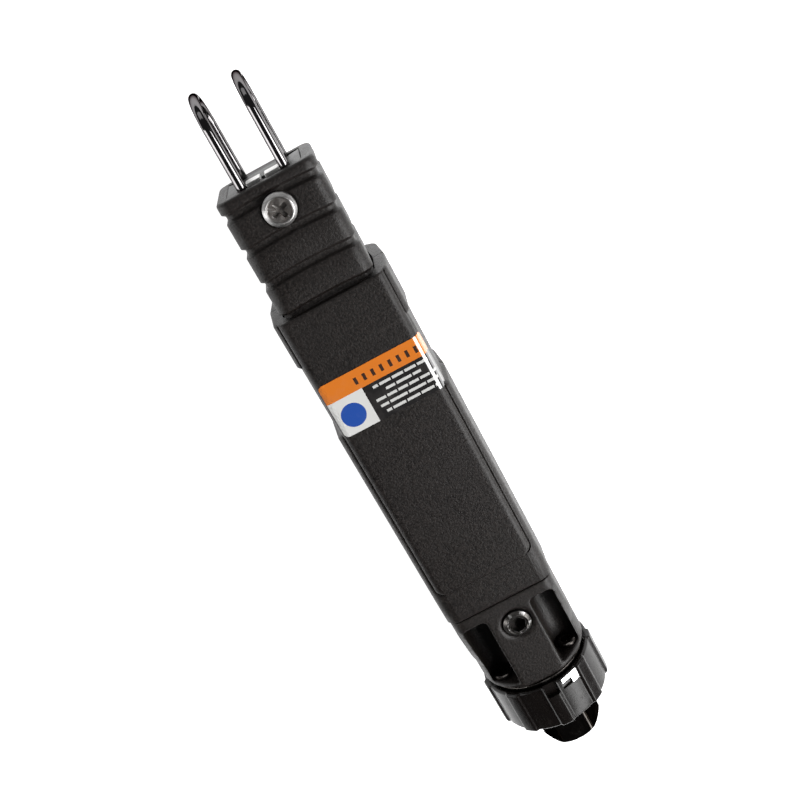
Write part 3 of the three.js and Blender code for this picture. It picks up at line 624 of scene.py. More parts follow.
screwSeat = {"radius": 3.0, "depth": 1.0, "flare": 0.25}
caseScrewNodes = [name for name in sorted(nodes) if name.startswith("case_screw")]
rearRings = [rearRing(y) for y in caseStations]
rearShell = shellLoft("rear-shell", [r[0] for r in rearRings], [r[1] for r in rearRings])
tidyMesh(rearShell, 50)
seats = []
for name in caseScrewNodes:
    low, high = boxOf(name)
    profile = [(0, -1), (screwSeat["radius"] + screwSeat["flare"] + 1, -1),
               (screwSeat["radius"], screwSeat["flare"]), (screwSeat["radius"], screwSeat["depth"]),
               (0, screwSeat["depth"])]
    middle = centreOf(name)
    seats.append(tidyMesh(turned("seat", profile, alongZ(middle.x, middle.y), 40)))
combine(rearShell, seats)
finishPiece(tidyMesh(rearShell, 50), casing, "root", "casing", "rear_shell")
print("case shells lofted")


# ---- nose housing ----

nose = {
    "frontDrop": 0.5,         # front face behind the end of the case
    "straight": 8.0,
    "shoulderRadius": 20.5,
    "pocketX": 9.9, "pocketZ": 7.2, "pocketRadius": 3.6, "pocketStart": 3.3, "pocketFloor": 2.0,
    "pocketCorner": 1.5, "pocketStep": 2.0, "pocketSteps": 7,
    "screwHole": 1.8, "boreRadius": 7.2, "spigotRoom": 0.8, "tipEdge": 0.8,
    "screwRoom": 0.25, "screwRecess": 4.9, "recessDepth": 0.45, "recessFlare": 0.4,
    "voxel": 0.3, "soften": 5,
}
noseTopY = caseBottom - clearance
noseRadius = noseHigh.x
coneRadius = noseRadius - 0.04
setLow, setHigh = boxOf("set_screw")
setX, setY = centreOf("set_screw").xy
setRadius = (setHigh.x - setLow.x) / 2
noseFront = caseFrontZ - nose["frontDrop"]


def noseSection():
    half, face = noseRadius, noseRadius - case["draft"]
    return rounded([
        (-half, axisZ), (-face, noseFront, case["frontRadius"]),
        (face, noseFront, case["frontRadius"]), (half, axisZ),
        (face, 0, case["backRadius"]), (-face, 0, case["backRadius"]),
    ], 10)


def pocketCutter(side, face):
    # round-ended channel open to the front or the back
    x, z = side * nose["pocketX"], axisZ + face * nose["pocketZ"]
    radius = nose["pocketRadius"]
    floor, top = noseLow.y + nose["pocketFloor"], noseTopY - nose["pocketStart"]
    corner = nose["pocketCorner"]
    profile = rounded([(0, top), (radius, top, corner), (radius, floor, 0.3), (0, floor)], 8, False)
    lifts = [face * nose["pocketStep"] * i for i in range(nose["pocketSteps"])]
    return [tidyMesh(turned("channel", profile, alongY(x, z + lift), 40)) for lift in lifts]


noseHousing = slab("nose-housing", noseSection(), noseLow.y, noseTopY, facingEnd)
tidyMesh(noseHousing)
tipRadius = coneRadius - nose["tipEdge"]
coneProfile = [(0, noseLow.y - 1), (tipRadius, noseLow.y - 1), (tipRadius, noseLow.y),
               (coneRadius, noseLow.y + nose["tipEdge"]),
               (coneRadius, noseLow.y + nose["straight"]),
               (nose["shoulderRadius"], noseTopY + 1), (0, noseTopY + 1)]
combine(noseHousing, [tidyMesh(turned("rounding", coneProfile, alongY(), 120))], "INTERSECT")
spigotHalf = frontHigh.x - case["draft"] - case["wall"] - nose["spigotRoom"]
spigot = brick("spigot", (-spigotHalf, noseTopY - 1, case["backRadius"]),
               (spigotHalf, noseHigh.y, caseFrontZ - case["wall"] - nose["spigotRoom"]))
combine(noseHousing, [tidyMesh(spigot)], "UNION")
cutters = []
for side in (-1, 1):
    for face in (-1, 1):
        cutters += pocketCutter(side, face)
        cutters.append(cylinder(
            "hole", nose["screwHole"], noseLow.y - 1, noseLow.y + nose["pocketFloor"] + 1,
            alongY(side * nose["pocketX"], axisZ + face * nose["pocketZ"]), 32))
cutters.append(cylinder("bore", nose["boreRadius"], noseLow.y - 1, noseHigh.y + 1, alongY(), 64))
boreRadius, recessDepth = setRadius + nose["screwRoom"], nose["recessDepth"]
cutters.append(tidyMesh(turned("screw bore", [
    (0, axisZ), (boreRadius, axisZ), (boreRadius, noseFront - recessDepth),
    (nose["screwRecess"], noseFront - recessDepth * 0.6),
    (nose["screwRecess"] + nose["recessFlare"], outside), (0, outside)],
    alongZ(setX, setY), 64)))
combine(noseHousing, cutters)
moulded(noseHousing, nose["voxel"], nose["soften"])
finishPiece(tidyMesh(noseHousing, 60), casing, "root", "casing", "nose_housing")
print("nose housing moulded")


# ---- tail grip ----

grip = {
    "firstRib": 2.0, "pitch": 8.85, "groove": 2.7, "depth": 0.85, "shoulder": 0.9,
    "radius": 3.2, "bow": 0.65, "rimRadius": 0.9, "wall": 2.2, "pocketRadius": 1.4,
    "pocketFloor": 57.3, "tangInset": 2.6, "sink": 0.2, "lipEdge": 0.3,
    "screwSeat": 4.35, "seatDepth": 0.7, "seatFlare": 0.8, "screwWay": 2.25,
}
plateLow, plateHigh = boxOf("guide_plate")
gripHalf = plateHigh.x + clearance + grip["wall"] + grip["depth"]
gripBack, gripFront = gripLow.z, gripHigh.z


def grooveInset(y):
    # how deep the surface lies below the ribs
    shoulder = grip["shoulder"]
    top = gripHigh.y - grip["firstRib"]
    inset = 0.0
    while top > caseTop - 4:
        inset += grip["depth"] * (rise(y, top - grip["groove"] + shoulder / 2, shoulder)
                                  * (1 - rise(y, top - shoulder / 2, shoulder)))
        top -= grip["pitch"]
    return inset


def gripRing(y, inset, radius=None):
    half = gripHalf - inset
    corner = max(grip["radius"] - inset, 0.8) if radius is None else radius
    section = rounded([
        (half, gripBack + inset, corner), (half, gripFront - inset, corner),
        (-half, gripFront - inset, corner), (-half, gripBack + inset, corner)], 8)
    return spread([(x, y, z) for x, z in section])


def spread(ring, count=7):
    # extra points along each straight stretch, so that the bow stays a curve
    points = []
    for i, here in enumerate(ring):
        after = ring[(i + 1) % len(ring)]
        points.append(here)
        if (Vector(after) - Vector(here)).length > 6:
            for k in range(1, count):
                points.append(tuple(Vector(here).lerp(Vector(after), k / count)))
    return points


def bowed(ring, bow):
    return [(x, y - bow * min(abs(x) / gripHalf, 1) ** 2.2, z) for x, y, z in ring]


ribPlaces = []
ribTop = gripHigh.y - grip["firstRib"]
while ribTop > caseTop:
    ribPlaces += [(ribTop - grip["shoulder"] / 2, grip["shoulder"]),
                  (ribTop - grip["groove"] + grip["shoulder"] / 2, grip["shoulder"])]
    ribTop -= grip["pitch"]
tangTop = caseTop - grip["sink"]
gripRings = [gripRing(gripLow.y, grip["tangInset"]), gripRing(tangTop, grip["tangInset"]),
             gripRing(tangTop, grip["depth"])]
for y in stations(caseTop, gripHigh.y, ribPlaces, grip["rimRadius"]):
    inset = grooveInset(y) + quarterInset(gripHigh.y - y, grip["rimRadius"])
    share = 1 - rise(y, gripHigh.y - 1.2, 1.6)
    gripRings.append(bowed(gripRing(y, inset), grip["bow"] * share))
pocketInset, lip = grip["depth"] + grip["wall"], grip["lipEdge"]
gripRings += [gripRing(gripHigh.y, pocketInset - lip, grip["pocketRadius"] + lip),
              gripRing(gripHigh.y - lip, pocketInset, grip["pocketRadius"]),
              gripRing(grip["pocketFloor"], pocketInset, grip["pocketRadius"])]
tailGrip = tidyMesh(loft("tail-grip", gripRings), 42)

clampLow, clampHigh = boxOf("clamp_screw")
clampX, clampY = centreOf("clamp_screw").xy
seatFloor = gripFront - grip["seatDepth"]
seatRadius = grip["screwSeat"]
flareRadius = seatRadius + grip["seatFlare"]
seat = tidyMesh(turned("seat", [
    (0, seatFloor), (seatRadius, seatFloor), (seatRadius, gripFront - 0.25),
    (flareRadius, gripFront + 0.55), (flareRadius, outside), (0, outside)],
    alongZ(clampX, clampY), 64))
screwWay = cylinder("screw way", grip["screwWay"], axisZ, outside, alongZ(clampX, clampY))
combine(tailGrip, [seat, screwWay])
finishPiece(tidyMesh(tailGrip, 42), gripPlastic, "root", "grip", "tail_grip")

guide = {
    "overlap": 0.24, "corner": 1.3, "wireRoom": 0.2, "bevel": 0.1, "rise": 0.25,
    "lugDepth": 5.0, "lugSetBack": 3.1, "lugHalf": 4.2, "lugRoom": 0.15,
    "gapLength": 3.0, "gapWidth": 2.6, "gapDepth": 2.0,
}
hookLow, hookHigh = boxOf("hook_left")
wire = hookHigh.x - hookLow.x
frontLegZ, backLegZ = hookHigh.z - wire / 2, hookLow.z + wire / 2
lugHighZ = gripFront - guide["lugSetBack"]
lugLowZ = lugHighZ - guide["lugDepth"]
plateTop = plateHigh.y + guide["rise"]
overlap, corner = guide["overlap"], guide["corner"]
plateOutline = rounded([
    (plateLow.x - overlap, plateLow.z - overlap, corner),
    (plateHigh.x + overlap, plateLow.z - overlap, corner),
    (plateHigh.x + overlap, plateHigh.z + overlap, corner),
    (plateLow.x - overlap, plateHigh.z + overlap, corner)], 8)
guidePlate = tidyMesh(slab("guide-plate", plateOutline, plateLow.y, plateTop, facingEnd))
slotHalf = guide["lugHalf"] + guide["lugRoom"]
plateCutters = [tidyMesh(brick("lug slot", (-slotHalf, plateLow.y - 1, lugLowZ - guide["lugRoom"]),
                               (slotHalf, plateTop + 1, lugHighZ + guide["lugRoom"])))]
wayRadius, gapWidth = wire / 2 + guide["wireRoom"], guide["gapWidth"]
for name in ("hook_left", "hook_right"):
    x = centreOf(name).x
    for z in (frontLegZ, backLegZ):
        way = slab("wire way", circle(x, z, wayRadius, 32), plateLow.y - 1, plateTop + 1, facingEnd)
        plateCutters.append(tidyMesh(way))
    # tapered gap from the rear leg outwards
    farX = x + math.copysign(wayRadius + guide["gapLength"], x)
    taper = [(x, backLegZ + gapWidth), (x, backLegZ - gapWidth),
             (farX, backLegZ - gapWidth * 0.9), (farX, backLegZ - gapWidth * 0.6)]
    plateCutters.append(tidyMesh(slab(
        "gap", taper, plateTop - guide["gapDepth"], plateTop + 1, facingEnd)))
combine(guidePlate, plateCutters)
finishPiece(tidyMesh(bevelled(guidePlate, guide["bevel"]), 42), litPlatePlastic, "root", "grip",
            "guide_plate")
print("tail grip made")


# ---- wire hooks and their clamp ----

def sweepWire(name, points, tangents, radius, sides=28):
    across = Vector((1, 0, 0))
    rings = []
    for point, tangent in zip(points, tangents):
        up = Vector(tangent).normalized().cross(across)
        rings.append([tuple(Vector(point) + across * a + up * b)
                      for a, b in circle(0, 0, radius, sides)])
    return loft(name, rings)


def wireHook(name, node):
    low, high = boxOf(node)
    x, radius = (low.x + high.x) / 2, (high.x - low.x) / 2
    front, back = high.z - radius, low.z + radius
    bend = (front - back) / 2
    middle = (front + back) / 2
    bendY = high.y - radius - bend
    legs = [low.y + (bendY - low.y) * i / 9 for i in range(9)]
    angles = [math.pi * i / 32 for i in range(33)]
    points = [(x, y, front) for y in legs]
    points += [(x, bendY + bend * math.sin(a), middle + bend * math.cos(a)) for a in angles]
    points += [(x, y, back) for y in legs[::-1]]
    tangents = [(0, 1, 0)] * 9 + [(0, math.cos(a), -math.sin(a)) for a in angles] + [(0, -1, 0)] * 9
    hook = tidyMesh(sweepWire(name, points, tangents, radius))
    return finishPiece(hook, darkChrome, "root", "chrome", node)


wireHook("left-hook", "hook_left")
wireHook("right-hook", "hook_right")

blockLow, blockHigh = boxOf("clamp_block")
lugs = {"slit": 1.2, "width": 3.6, "root": 1.5, "edge": 0.35}
blockBody = brick("clamp-block", tuple(blockLow),
                  (blockHigh.x, plateLow.y - clearance, blockHigh.z))
lugPieces = []
for side in (-1, 1):
    inner, outer = side * lugs["slit"] / 2, side * (lugs["slit"] / 2 + lugs["width"])
    lugPieces.append(tidyMesh(brick("lug", (min(inner, outer), plateLow.y - lugs["root"], lugLowZ),
                                    (max(inner, outer), blockHigh.y, lugHighZ))))
combine(tidyMesh(blockBody), lugPieces, "UNION")
combine(blockBody, [cylinder("screw way", grip["screwWay"], 0, outside, alongZ(clampX, clampY))])
bevelled(blockBody, lugs["edge"])
finishPiece(tidyMesh(blockBody, 42), zincCast, "root", "zinc", "clamp_block")
print("hooks and clamp made")


# ---- screws ----

def crossRecess(name, reach, half, low, high, x, y, turn):
    # one plus-shaped pit, a little narrower at its floor
    corners = []
    tip, inner = half * 0.6, 0.12
    for i in range(4):
        angle = math.radians(turn + 90 * i)
        for a, b, radius in ((reach, -half, tip), (reach, half, tip), (half, half, inner)):
            corners.append((x + a * math.cos(angle) - b * math.sin(angle),
                            y + a * math.sin(angle) + b * math.cos(angle), radius))
    wide = rounded(corners, 4)
    narrow = [(x + (a - x) * 0.8, y + (b - y) * 0.8) for a, b in wide]
    return tidyMesh(loft(name, [[(a, b, low) for a, b in narrow], [(a, b, high) for a, b in wide]]))


clampHead = {
    "shank": 1.95, "height": 1.9, "crown": 0.75, "dish": 0.35, "dishInner": 2.75, "dishOuter": 3.1,
    "cross": 2.3, "arm": 0.6, "depth": 1.2, "turn": 22, "edge": 0.1,
}
headTop = clampHigh.z
headRadius = (clampHigh.x - clampLow.x) / 2
headSeat = headTop - clampHead["height"]
dishFloor = headTop - clampHead["dish"]
profile = rounded([
    (0, clampLow.z), (clampHead["shank"], clampLow.z, 0.3), (clampHead["shank"], headSeat),
    (headRadius, headSeat, 0.25), (headRadius, headTop - clampHead["crown"], 0.3),
    (headRadius - clampHead["crown"], headTop, 0.35), (clampHead["dishOuter"], headTop, 0.12),
    (clampHead["dishInner"], dishFloor, 0.12), (0, dishFloor + 0.05)], 5, False)
clampScrew = tidyMesh(turned("clamp-screw", profile, alongZ(clampX, clampY), 72))
combine(clampScrew, [crossRecess("cross", clampHead["cross"], clampHead["arm"],
                                 headTop - clampHead["depth"], headTop + 0.15,
                                 clampX, clampY, clampHead["turn"])])


def clampScrewFinish():
    finish = Finish("worn screw steel")
    x, y, _ = finish.axes()
    across, along = (x - clampX * mm) * (1 / mm), (y - clampY * mm) * (1 / mm)
    radius = (across * across + along * along) ** 0.5
    dish = 1 - radius.ramped(clampHead["dishInner"], clampHead["dishOuter"]).clamped()
    patch = finish.noise(1.4, 4.0, 0.65)
    lines = finish.noise(0.18, 2.0, 0.6)
    edges = finish.wear(0.35)
    # painted shade: the dish is darkened in the base colour, in patches, with its convex edges left
    # bright
    dishShade = dish * (0.75 + patch.ramped(0.3, 0.7).clamped() * 0.25) * (1 - edges * 0.85)
    shade = finish.mix(dishShade, (0.60, 0.59, 0.58), (0.085, 0.074, 0.066))
    finish.set(Base_Color=shade, Metallic=1.0,
               Roughness=(0.34 + dishShade * 0.2 + (patch - 0.5) * 0.2).clamped(),
               Normal=finish.bump(lines + patch, 0.02))
    return finish.material


bevelled(clampScrew, clampHead["edge"], 2, 50)
finishPiece(tidyMesh(clampScrew, 34), clampScrewFinish(), "root", "screw_steel", "clamp_screw")

setHead = {
    "socket": 4.2, "depth": 3.2, "rim": 0.85, "chamfer": 0.7, "lip": 0.3, "lipDrop": 0.2,
    "point": 0.5, "turn": 12,
}
setTop = setHigh.z
lipRadius = setRadius - setHead["rim"]
lipInner = lipRadius - setHead["lip"]
profile = rounded([
    (0, setLow.z), (setRadius - setHead["point"], setLow.z), (setRadius, setLow.z + 0.6),
    (setRadius, setTop - setHead["chamfer"], 0.2), (lipRadius, setTop, 0.15),
    (lipInner, setTop, 0.1), (lipInner - 0.15, setTop - setHead["lipDrop"]),
    (0, setTop - setHead["lipDrop"] - 0.05)], 5, False)
setScrew = tidyMesh(turned("set-screw", profile, alongZ(setX, setY), 72))
hexOutline = circle(setX, setY, setHead["socket"] / math.sqrt(3), 6, setHead["turn"])
combine(setScrew, [tidyMesh(slab("hex", hexOutline, setTop - setHead["depth"], setTop + 1,
                                 facingFront))])
setSteel = metal("set screw steel", dict(
    steelLook, colour=(0.10, 0.095, 0.09), patch=2.2, dullColour=(0.035, 0.033, 0.031),
    bright=(0.75, 0.74, 0.73), edge=1.0, rough=0.3))
finishPiece(tidyMesh(setScrew, 34), setSteel, "root", "screw_steel", "set_screw")

noseHead = {"shank": 1.5, "radius": 2.7, "height": 1.1, "socket": 1.5, "depth": 0.7, "rim": 0.3}
for name in (n for n in sorted(nodes) if n.startswith("nose_screw")):
    low, high = boxOf(name)
    x, _, z = centreOf(name)
    base, radius, rim = high.y - noseHead["height"], noseHead["radius"], noseHead["rim"]
    profile = rounded([
        (0, low.y), (noseHead["shank"], low.y), (noseHead["shank"], base), (radius, base, 0.15),
        (radius, high.y - rim, 0.15), (radius - rim, high.y, 0.12), (0, high.y)], 4, False)
    screw = tidyMesh(turned(name.replace("_", "-"), profile, alongY(x, z), 48))
    socket = slab("socket", circle(x, z, noseHead["socket"], 6), high.y - noseHead["depth"],
                  high.y + 1, facingEnd)
    combine(screw, [tidyMesh(socket)])
    finishPiece(tidyMesh(screw, 34), blackOxide, "root", "dark_steel", name)

caseHead = {"shank": 1.4, "radius": 2.7, "seat": 1.1, "edge": 0.85, "chamfer": 0.3, "flat": 2.2,
            "cross": 1.5, "arm": 0.4, "depth": 0.75, "turn": 20}
for name in caseScrewNodes:
    low, high = boxOf(name)
    x, y, _ = centreOf(name)
    profile = rounded([
        (0, high.z), (caseHead["shank"], high.z), (caseHead["shank"], caseHead["seat"]),
        (caseHead["radius"], caseHead["edge"], 0.1),
        (caseHead["radius"], low.z + caseHead["chamfer"], 0.2),
        (caseHead["flat"], low.z, 0.2), (0, low.z)], 4, False)
    screw = tidyMesh(turned(name.replace("_", "-"), profile, alongZ(x, y), 48))
    combine(screw, [crossRecess("cross", caseHead["cross"], caseHead["arm"],
                                low.z + caseHead["depth"], low.z - 0.1, x, y, caseHead["turn"])])
    finishPiece(tidyMesh(screw, 34), blackOxide, "root", "dark_steel", name)
print("screws made")


# ---- nose flange, locking ring and spindle ----

flangeLow, flangeHigh = boxOf("nose_flange")
flange = {"plate": 2.2, "tube": 12.0, "bore": 9.9, "groove": 0.9, "grooveRoom": 0.15,
          "edge": 0.35, "tubeEdge": 0.45}
clipLow, clipHigh = boxOf("ring_clip")
flangeRadius = (flangeHigh.x - flangeLow.x) / 2
plateBottom, tube, grooveRoom = flangeHigh.y - flange["plate"], flange["tube"], flange["grooveRoom"]
grooveRadius = tube - flange["groove"]
profile = rounded([
    (flange["bore"], flangeHigh.y, 0.2), (flangeRadius, flangeHigh.y, flange["edge"]),
    (flangeRadius, plateBottom, flange["edge"]), (tube, plateBottom, 0.3),
    (tube, clipHigh.y + grooveRoom), (grooveRadius, clipHigh.y + grooveRoom),
    (grooveRadius, clipLow.y - grooveRoom), (tube, clipLow.y - grooveRoom),
    (tube, flangeLow.y, flange["tubeEdge"]), (flange["bore"], flangeLow.y, flange["tubeEdge"])], 5)
noseFlange = tidyMesh(turned("nose-flange", profile, alongY(), 120, True))
finishPiece(noseFlange, blackOxide, "root", "dark_steel", "nose_flange")

clip = {"radius": 13.7, "edge": 0.2, "splitHalf": 2.2, "splitTop": 5}
clipInner = grooveRadius + grooveRoom
profile = rounded([
    (clipInner, clipHigh.y, clip["edge"]), (clip["radius"], clipHigh.y, clip["edge"]),
    (clip["radius"], clipLow.y, clip["edge"]), (clipInner, clipLow.y, clip["edge"])], 4)
ringClip = tidyMesh(turned("ring-clip", profile, alongY(), 96, True))
combine(ringClip, [tidyMesh(brick(
    "split", (-clip["splitHalf"], clipLow.y - 1, -20),
    (clip["splitHalf"], clipHigh.y + 1, axisZ - clip["splitTop"])))])
finishPiece(tidyMesh(ringClip), steel, "root", "steel", "ring_clip")

ring = {
    "ribs": 9, "ribDegrees": 14, "slope": 3.2, "rise": 0.65, "topEdge": 0.7, "lowEdge": 0.9,
    "rimBore": 15.25, "bore": 12.3, "clipBore": 14.2, "stepTop": 2.3, "stepBottom": 11.5,
    "notchHalf": 1.9, "notchLength": 3.6, "notchDepth": 1.4, "notchDegrees": 1,
    "steps": 432,
}
ringRadius = (ringHigh.x - ringLow.x) / 2


def ringSurface(y):
    # outline of the fluted outside at one height, with rounded ends on every rib
    topEdge = quarterInset(ringHigh.y - y, ring["topEdge"])
    lowEdge = quarterInset(y - ringLow.y, ring["lowEdge"])
    pitch = 360 / ring["ribs"]
    points = []
    for k in range(ring["steps"]):
        degrees = 360 * k / ring["steps"]
        fromRib = abs((degrees + pitch / 2) % pitch - pitch / 2)
        lift = 1 - rise(fromRib, ring["ribDegrees"] / 2, ring["slope"])
        radius = ringRadius - ring["rise"] * (1 - lift) - topEdge - lowEdge
        points.append(alongY()(radius, math.radians(degrees), y))
    return points


def roundRings(steps, *places):
    # plain round rings at (radius, run) places
    return [[alongY()(max(radius, 1e-4), 2 * math.pi * k / steps, y) for k in range(steps)]
            for radius, y in places]


def aboutAxis(piece, degrees):
    turn = (Matrix.Translation((0, 0, axisZ * mm)) @ Matrix.Rotation(math.radians(degrees), 4, "Y")
            @ Matrix.Translation((0, 0, -axisZ * mm)))
    piece.data.transform(turn)
    return piece


stepTop, stepBottom = ringHigh.y - ring["stepTop"], ringHigh.y - ring["stepBottom"]
ringRings = [ringSurface(y) for y in stations(ringLow.y, ringHigh.y, [], ring["lowEdge"], 3.0)]
ringRings += roundRings(
    ring["steps"], (ring["rimBore"], ringHigh.y), (ring["rimBore"], stepTop),
    (ring["bore"], stepTop), (ring["bore"], stepBottom),
    (ring["clipBore"], stepBottom), (ring["clipBore"], ringLow.y))
lockRing = tidyMesh(loft("lock-ring", ringRings, True), 40)
ringFront = axisZ + ringRadius
notch = brick("notch", (-ring["notchHalf"], ringHigh.y - ring["notchLength"],
                        ringFront - ring["notchDepth"]),
              (ring["notchHalf"], ringHigh.y + 1, ringFront + 2))
tab = {"degrees": 22.0, "width": 5.5, "height": 3.6, "foot": 2.5, "bar": 1.5, "thickness": 0.8,
       "room": 0.12, "sunk": 0.3, "topSunk": 0.1, "edge": 0.14}
seatHalf = tab["width"] / 2 + tab["room"]
tabSeat = brick("tab seat", (-seatHalf, ringHigh.y - tab["height"] - tab["room"],
                             ringFront - tab["thickness"] - 0.5),
                (seatHalf, ringHigh.y + 1, ringFront + 2))
lockCutters = [aboutAxis(tidyMesh(notch), ring["notchDegrees"]),
               aboutAxis(tidyMesh(tabSeat), tab["degrees"])]
combine(lockRing, lockCutters)
finishPiece(tidyMesh(lockRing, 40), collarPlastic, "lock_ring", "collar", "lock_ring")

tabTop, tabRight = ringHigh.y - tab["topSunk"], tab["width"] / 2
tabFoot, tabInner = ringHigh.y - tab["height"], tabRight - tab["foot"]
tabOutline = [(-tabRight, tabTop), (tabRight, tabTop), (tabRight, tabFoot), (tabInner, tabFoot),
              (tabInner, tabTop - tab["bar"]), (-tabRight, tabTop - tab["bar"])]
tabFront = ringFront - tab["sunk"]
indexTab = slab("index-tab", tabOutline, tabFront - tab["thickness"], tabFront, facingFront)
tidyMesh(indexTab)
bevelled(indexTab, tab["edge"])
aboutAxis(indexTab, tab["degrees"])
finishPiece(tidyMesh(indexTab), brightPlate, "lock_ring", "bright_steel", "index_tab")

spindleLow, spindleHigh = boxOf("spindle")
bar = {"flats": 16.0, "chamfer": 1.5, "cornerSoftness": 0.7, "boss": 6.6, "bossRise": 0.5,
       "socket": 4.0, "socketDepth": 13.5, "hexLength": 17.6, "shank": 4.9, "collar": 6.7,
       "collarLength": 3.1, "tail": 3.4, "tailEdge": 0.4, "steps": 180}


def hexRadius(angle, flats, softness):
    # distance to a hexagon's side, corners rounded by a soft minimum
    sixth = math.pi / 3
    offset = (angle + sixth / 2) % sixth - sixth / 2
    sharp = flats / 2 / math.cos(offset)
    other = flats / 2 / math.cos(sixth - abs(offset))
    blend = max(softness - abs(other - sharp), 0) / softness
    return sharp - blend * blend * softness / 4


def hexRing(y, limit):
    angles = [2 * math.pi * k / bar["steps"] for k in range(bar["steps"])]
    return [alongY()(min(hexRadius(angle, bar["flats"], bar["cornerSoftness"]), limit), angle, y)
            for angle in angles]


hexEnd = spindleLow.y + bar["bossRise"]
hexRear = spindleLow.y + bar["hexLength"]
cornerRadius = bar["flats"] / math.sqrt(3)
collarBase = boxOf("bumper_ring")[1].y + clearance
collarTop = collarBase + bar["collarLength"]
tail, collar, shank, boss, socket = (
    bar["tail"], bar["collar"], bar["shank"], bar["boss"], bar["socket"])
spindleRings = roundRings(
    bar["steps"], (0, spindleHigh.y), (tail - bar["tailEdge"], spindleHigh.y),
    (tail, spindleHigh.y - bar["tailEdge"]), (tail, collarTop), (collar, collarTop),
    (collar, collarBase), (shank, collarBase), (shank, hexRear), (bar["flats"] / 2 - 0.3, hexRear))
spindleRings.append(hexRing(hexRear - 0.5, cornerRadius - 0.2))
for i in range(5):
    spindleRings.append(hexRing(
        hexRear - 1 - (hexRear - hexEnd - bar["chamfer"] - 1) * i / 4, cornerRadius))
crown = cornerRadius - bar["flats"] / 2 + 0.5    # how much the corners lose at the free end
for i in range(1, 9):
    spindleRings.append(hexRing(hexEnd + bar["chamfer"] * (1 - i / 8),
                                cornerRadius - crown * (i / 8) ** 1.4))
socketEnd = spindleLow.y + bar["socketDepth"]
spindleRings += roundRings(
    bar["steps"], (boss + 0.5, hexEnd), (boss + 0.1, hexEnd - 0.1),
    (boss, hexEnd - bar["bossRise"] + 0.15), (boss - 0.2, spindleLow.y),
    (socket + 0.5, spindleLow.y), (socket, spindleLow.y + 0.5),
    (socket, socketEnd), (0, socketEnd + 0.8))
spindle = tidyMesh(loft("spindle-bar", spindleRings), 30)
polishedOxide = metal("polished black oxide", dict(
    steelLook, colour=(0.045, 0.041, 0.038), dullColour=(0.022, 0.020, 0.019), patch=4,
    bright=(0.34, 0.32, 0.30), rough=0.14, edge=0.9, dullRough=0.16, depth=0.012,
    rim=(0.08, 0.08, 0.08, 1)))
finishPiece(spindle, polishedOxide, "spindle", "dark_steel", "spindle")
print("ring and spindle made")


# ---- label ----

labelLow, labelHigh = boxOf("label")
labelSize = {"corner": 1.3, "thickness": 0.09, "lift": 0.03, "sidePart": 2.9, "columns": 72}


def surfacePath(y):
    # outside of the front shell from left to right, with the run measured from the middle
    path = frontHalfPath(y)
    return [(-x, z) for x, z in path] + [(x, z) for x, z in path[-2::-1]]


def labelMesh():
    path = surfacePath((labelLow.y + labelHigh.y) / 2)
    runs = [0.0]
    for before, here in zip(path, path[1:]):
        runs.append(runs[-1] + math.hypot(here[0] - before[0], here[1] - before[1]))
    middle = runs[-1] / 2
    start = middle + labelLow.x
    end = middle + labelHigh.x + labelSize["sidePart"]

    def at(run, lift):
        i = max(k for k in range(len(runs) - 1) if runs[k] <= run)
        a, b = Vector(path[i]), Vector(path[i + 1])
        along = (b - a).normalized()
        spot = a.lerp(b, (run - runs[i]) / (runs[i + 1] - runs[i]))
        return spot + Vector((-along.y, along.x)) * lift

    length = labelHigh.y - labelLow.y
    corner = labelSize["corner"]
    edges = [corner * (1 - math.cos(math.pi / 2 * i / 6)) for i in range(7)]
    rows = sorted({round(e, 4) for e in edges} | {round(length - e, 4) for e in edges}
                  | {round(length * i / 10, 4) for i in range(1, 10)})
    columns = labelSize["columns"]
    vertices, places, faces = [], [], []
    for lift in (labelSize["lift"] + labelSize["thickness"], labelSize["lift"]):
        for row in rows:
            trim = quarterInset(min(row, length - row), corner)
            for k in range(columns + 1):
                run = start + trim + (end - start - 2 * trim) * k / columns
                spot = at(run, lift)
                vertices.append((spot.x, labelLow.y + row, spot.y))
                places.append(((run - start) / (end - start), row / length))
    across = columns + 1
    below = len(rows) * across
    for i in range(len(rows) - 1):
        for k in range(columns):
            a = i * across + k
            faces.append((a, a + 1, a + across + 1, a + across))
            faces.append((below + a, below + a + across, below + a + across + 1, below + a + 1))
    rim = list(range(across)) + [i * across + columns for i in range(1, len(rows))]
    rim += [(len(rows) - 1) * across + k for k in range(columns - 1, -1, -1)]
    rim += [i * across for i in range(len(rows) - 2, 0, -1)]
    for here, after in zip(rim, rim[1:] + rim[:1]):
        faces.append((here, after, below + after, below + here))
    label = meshPiece("printed-label", vertices, faces)
    layer = label.data.uv_layers.new(name="print")
    for loop in label.data.loops:
        layer.data[loop.index].uv = places[loop.vertex_index]
    return label


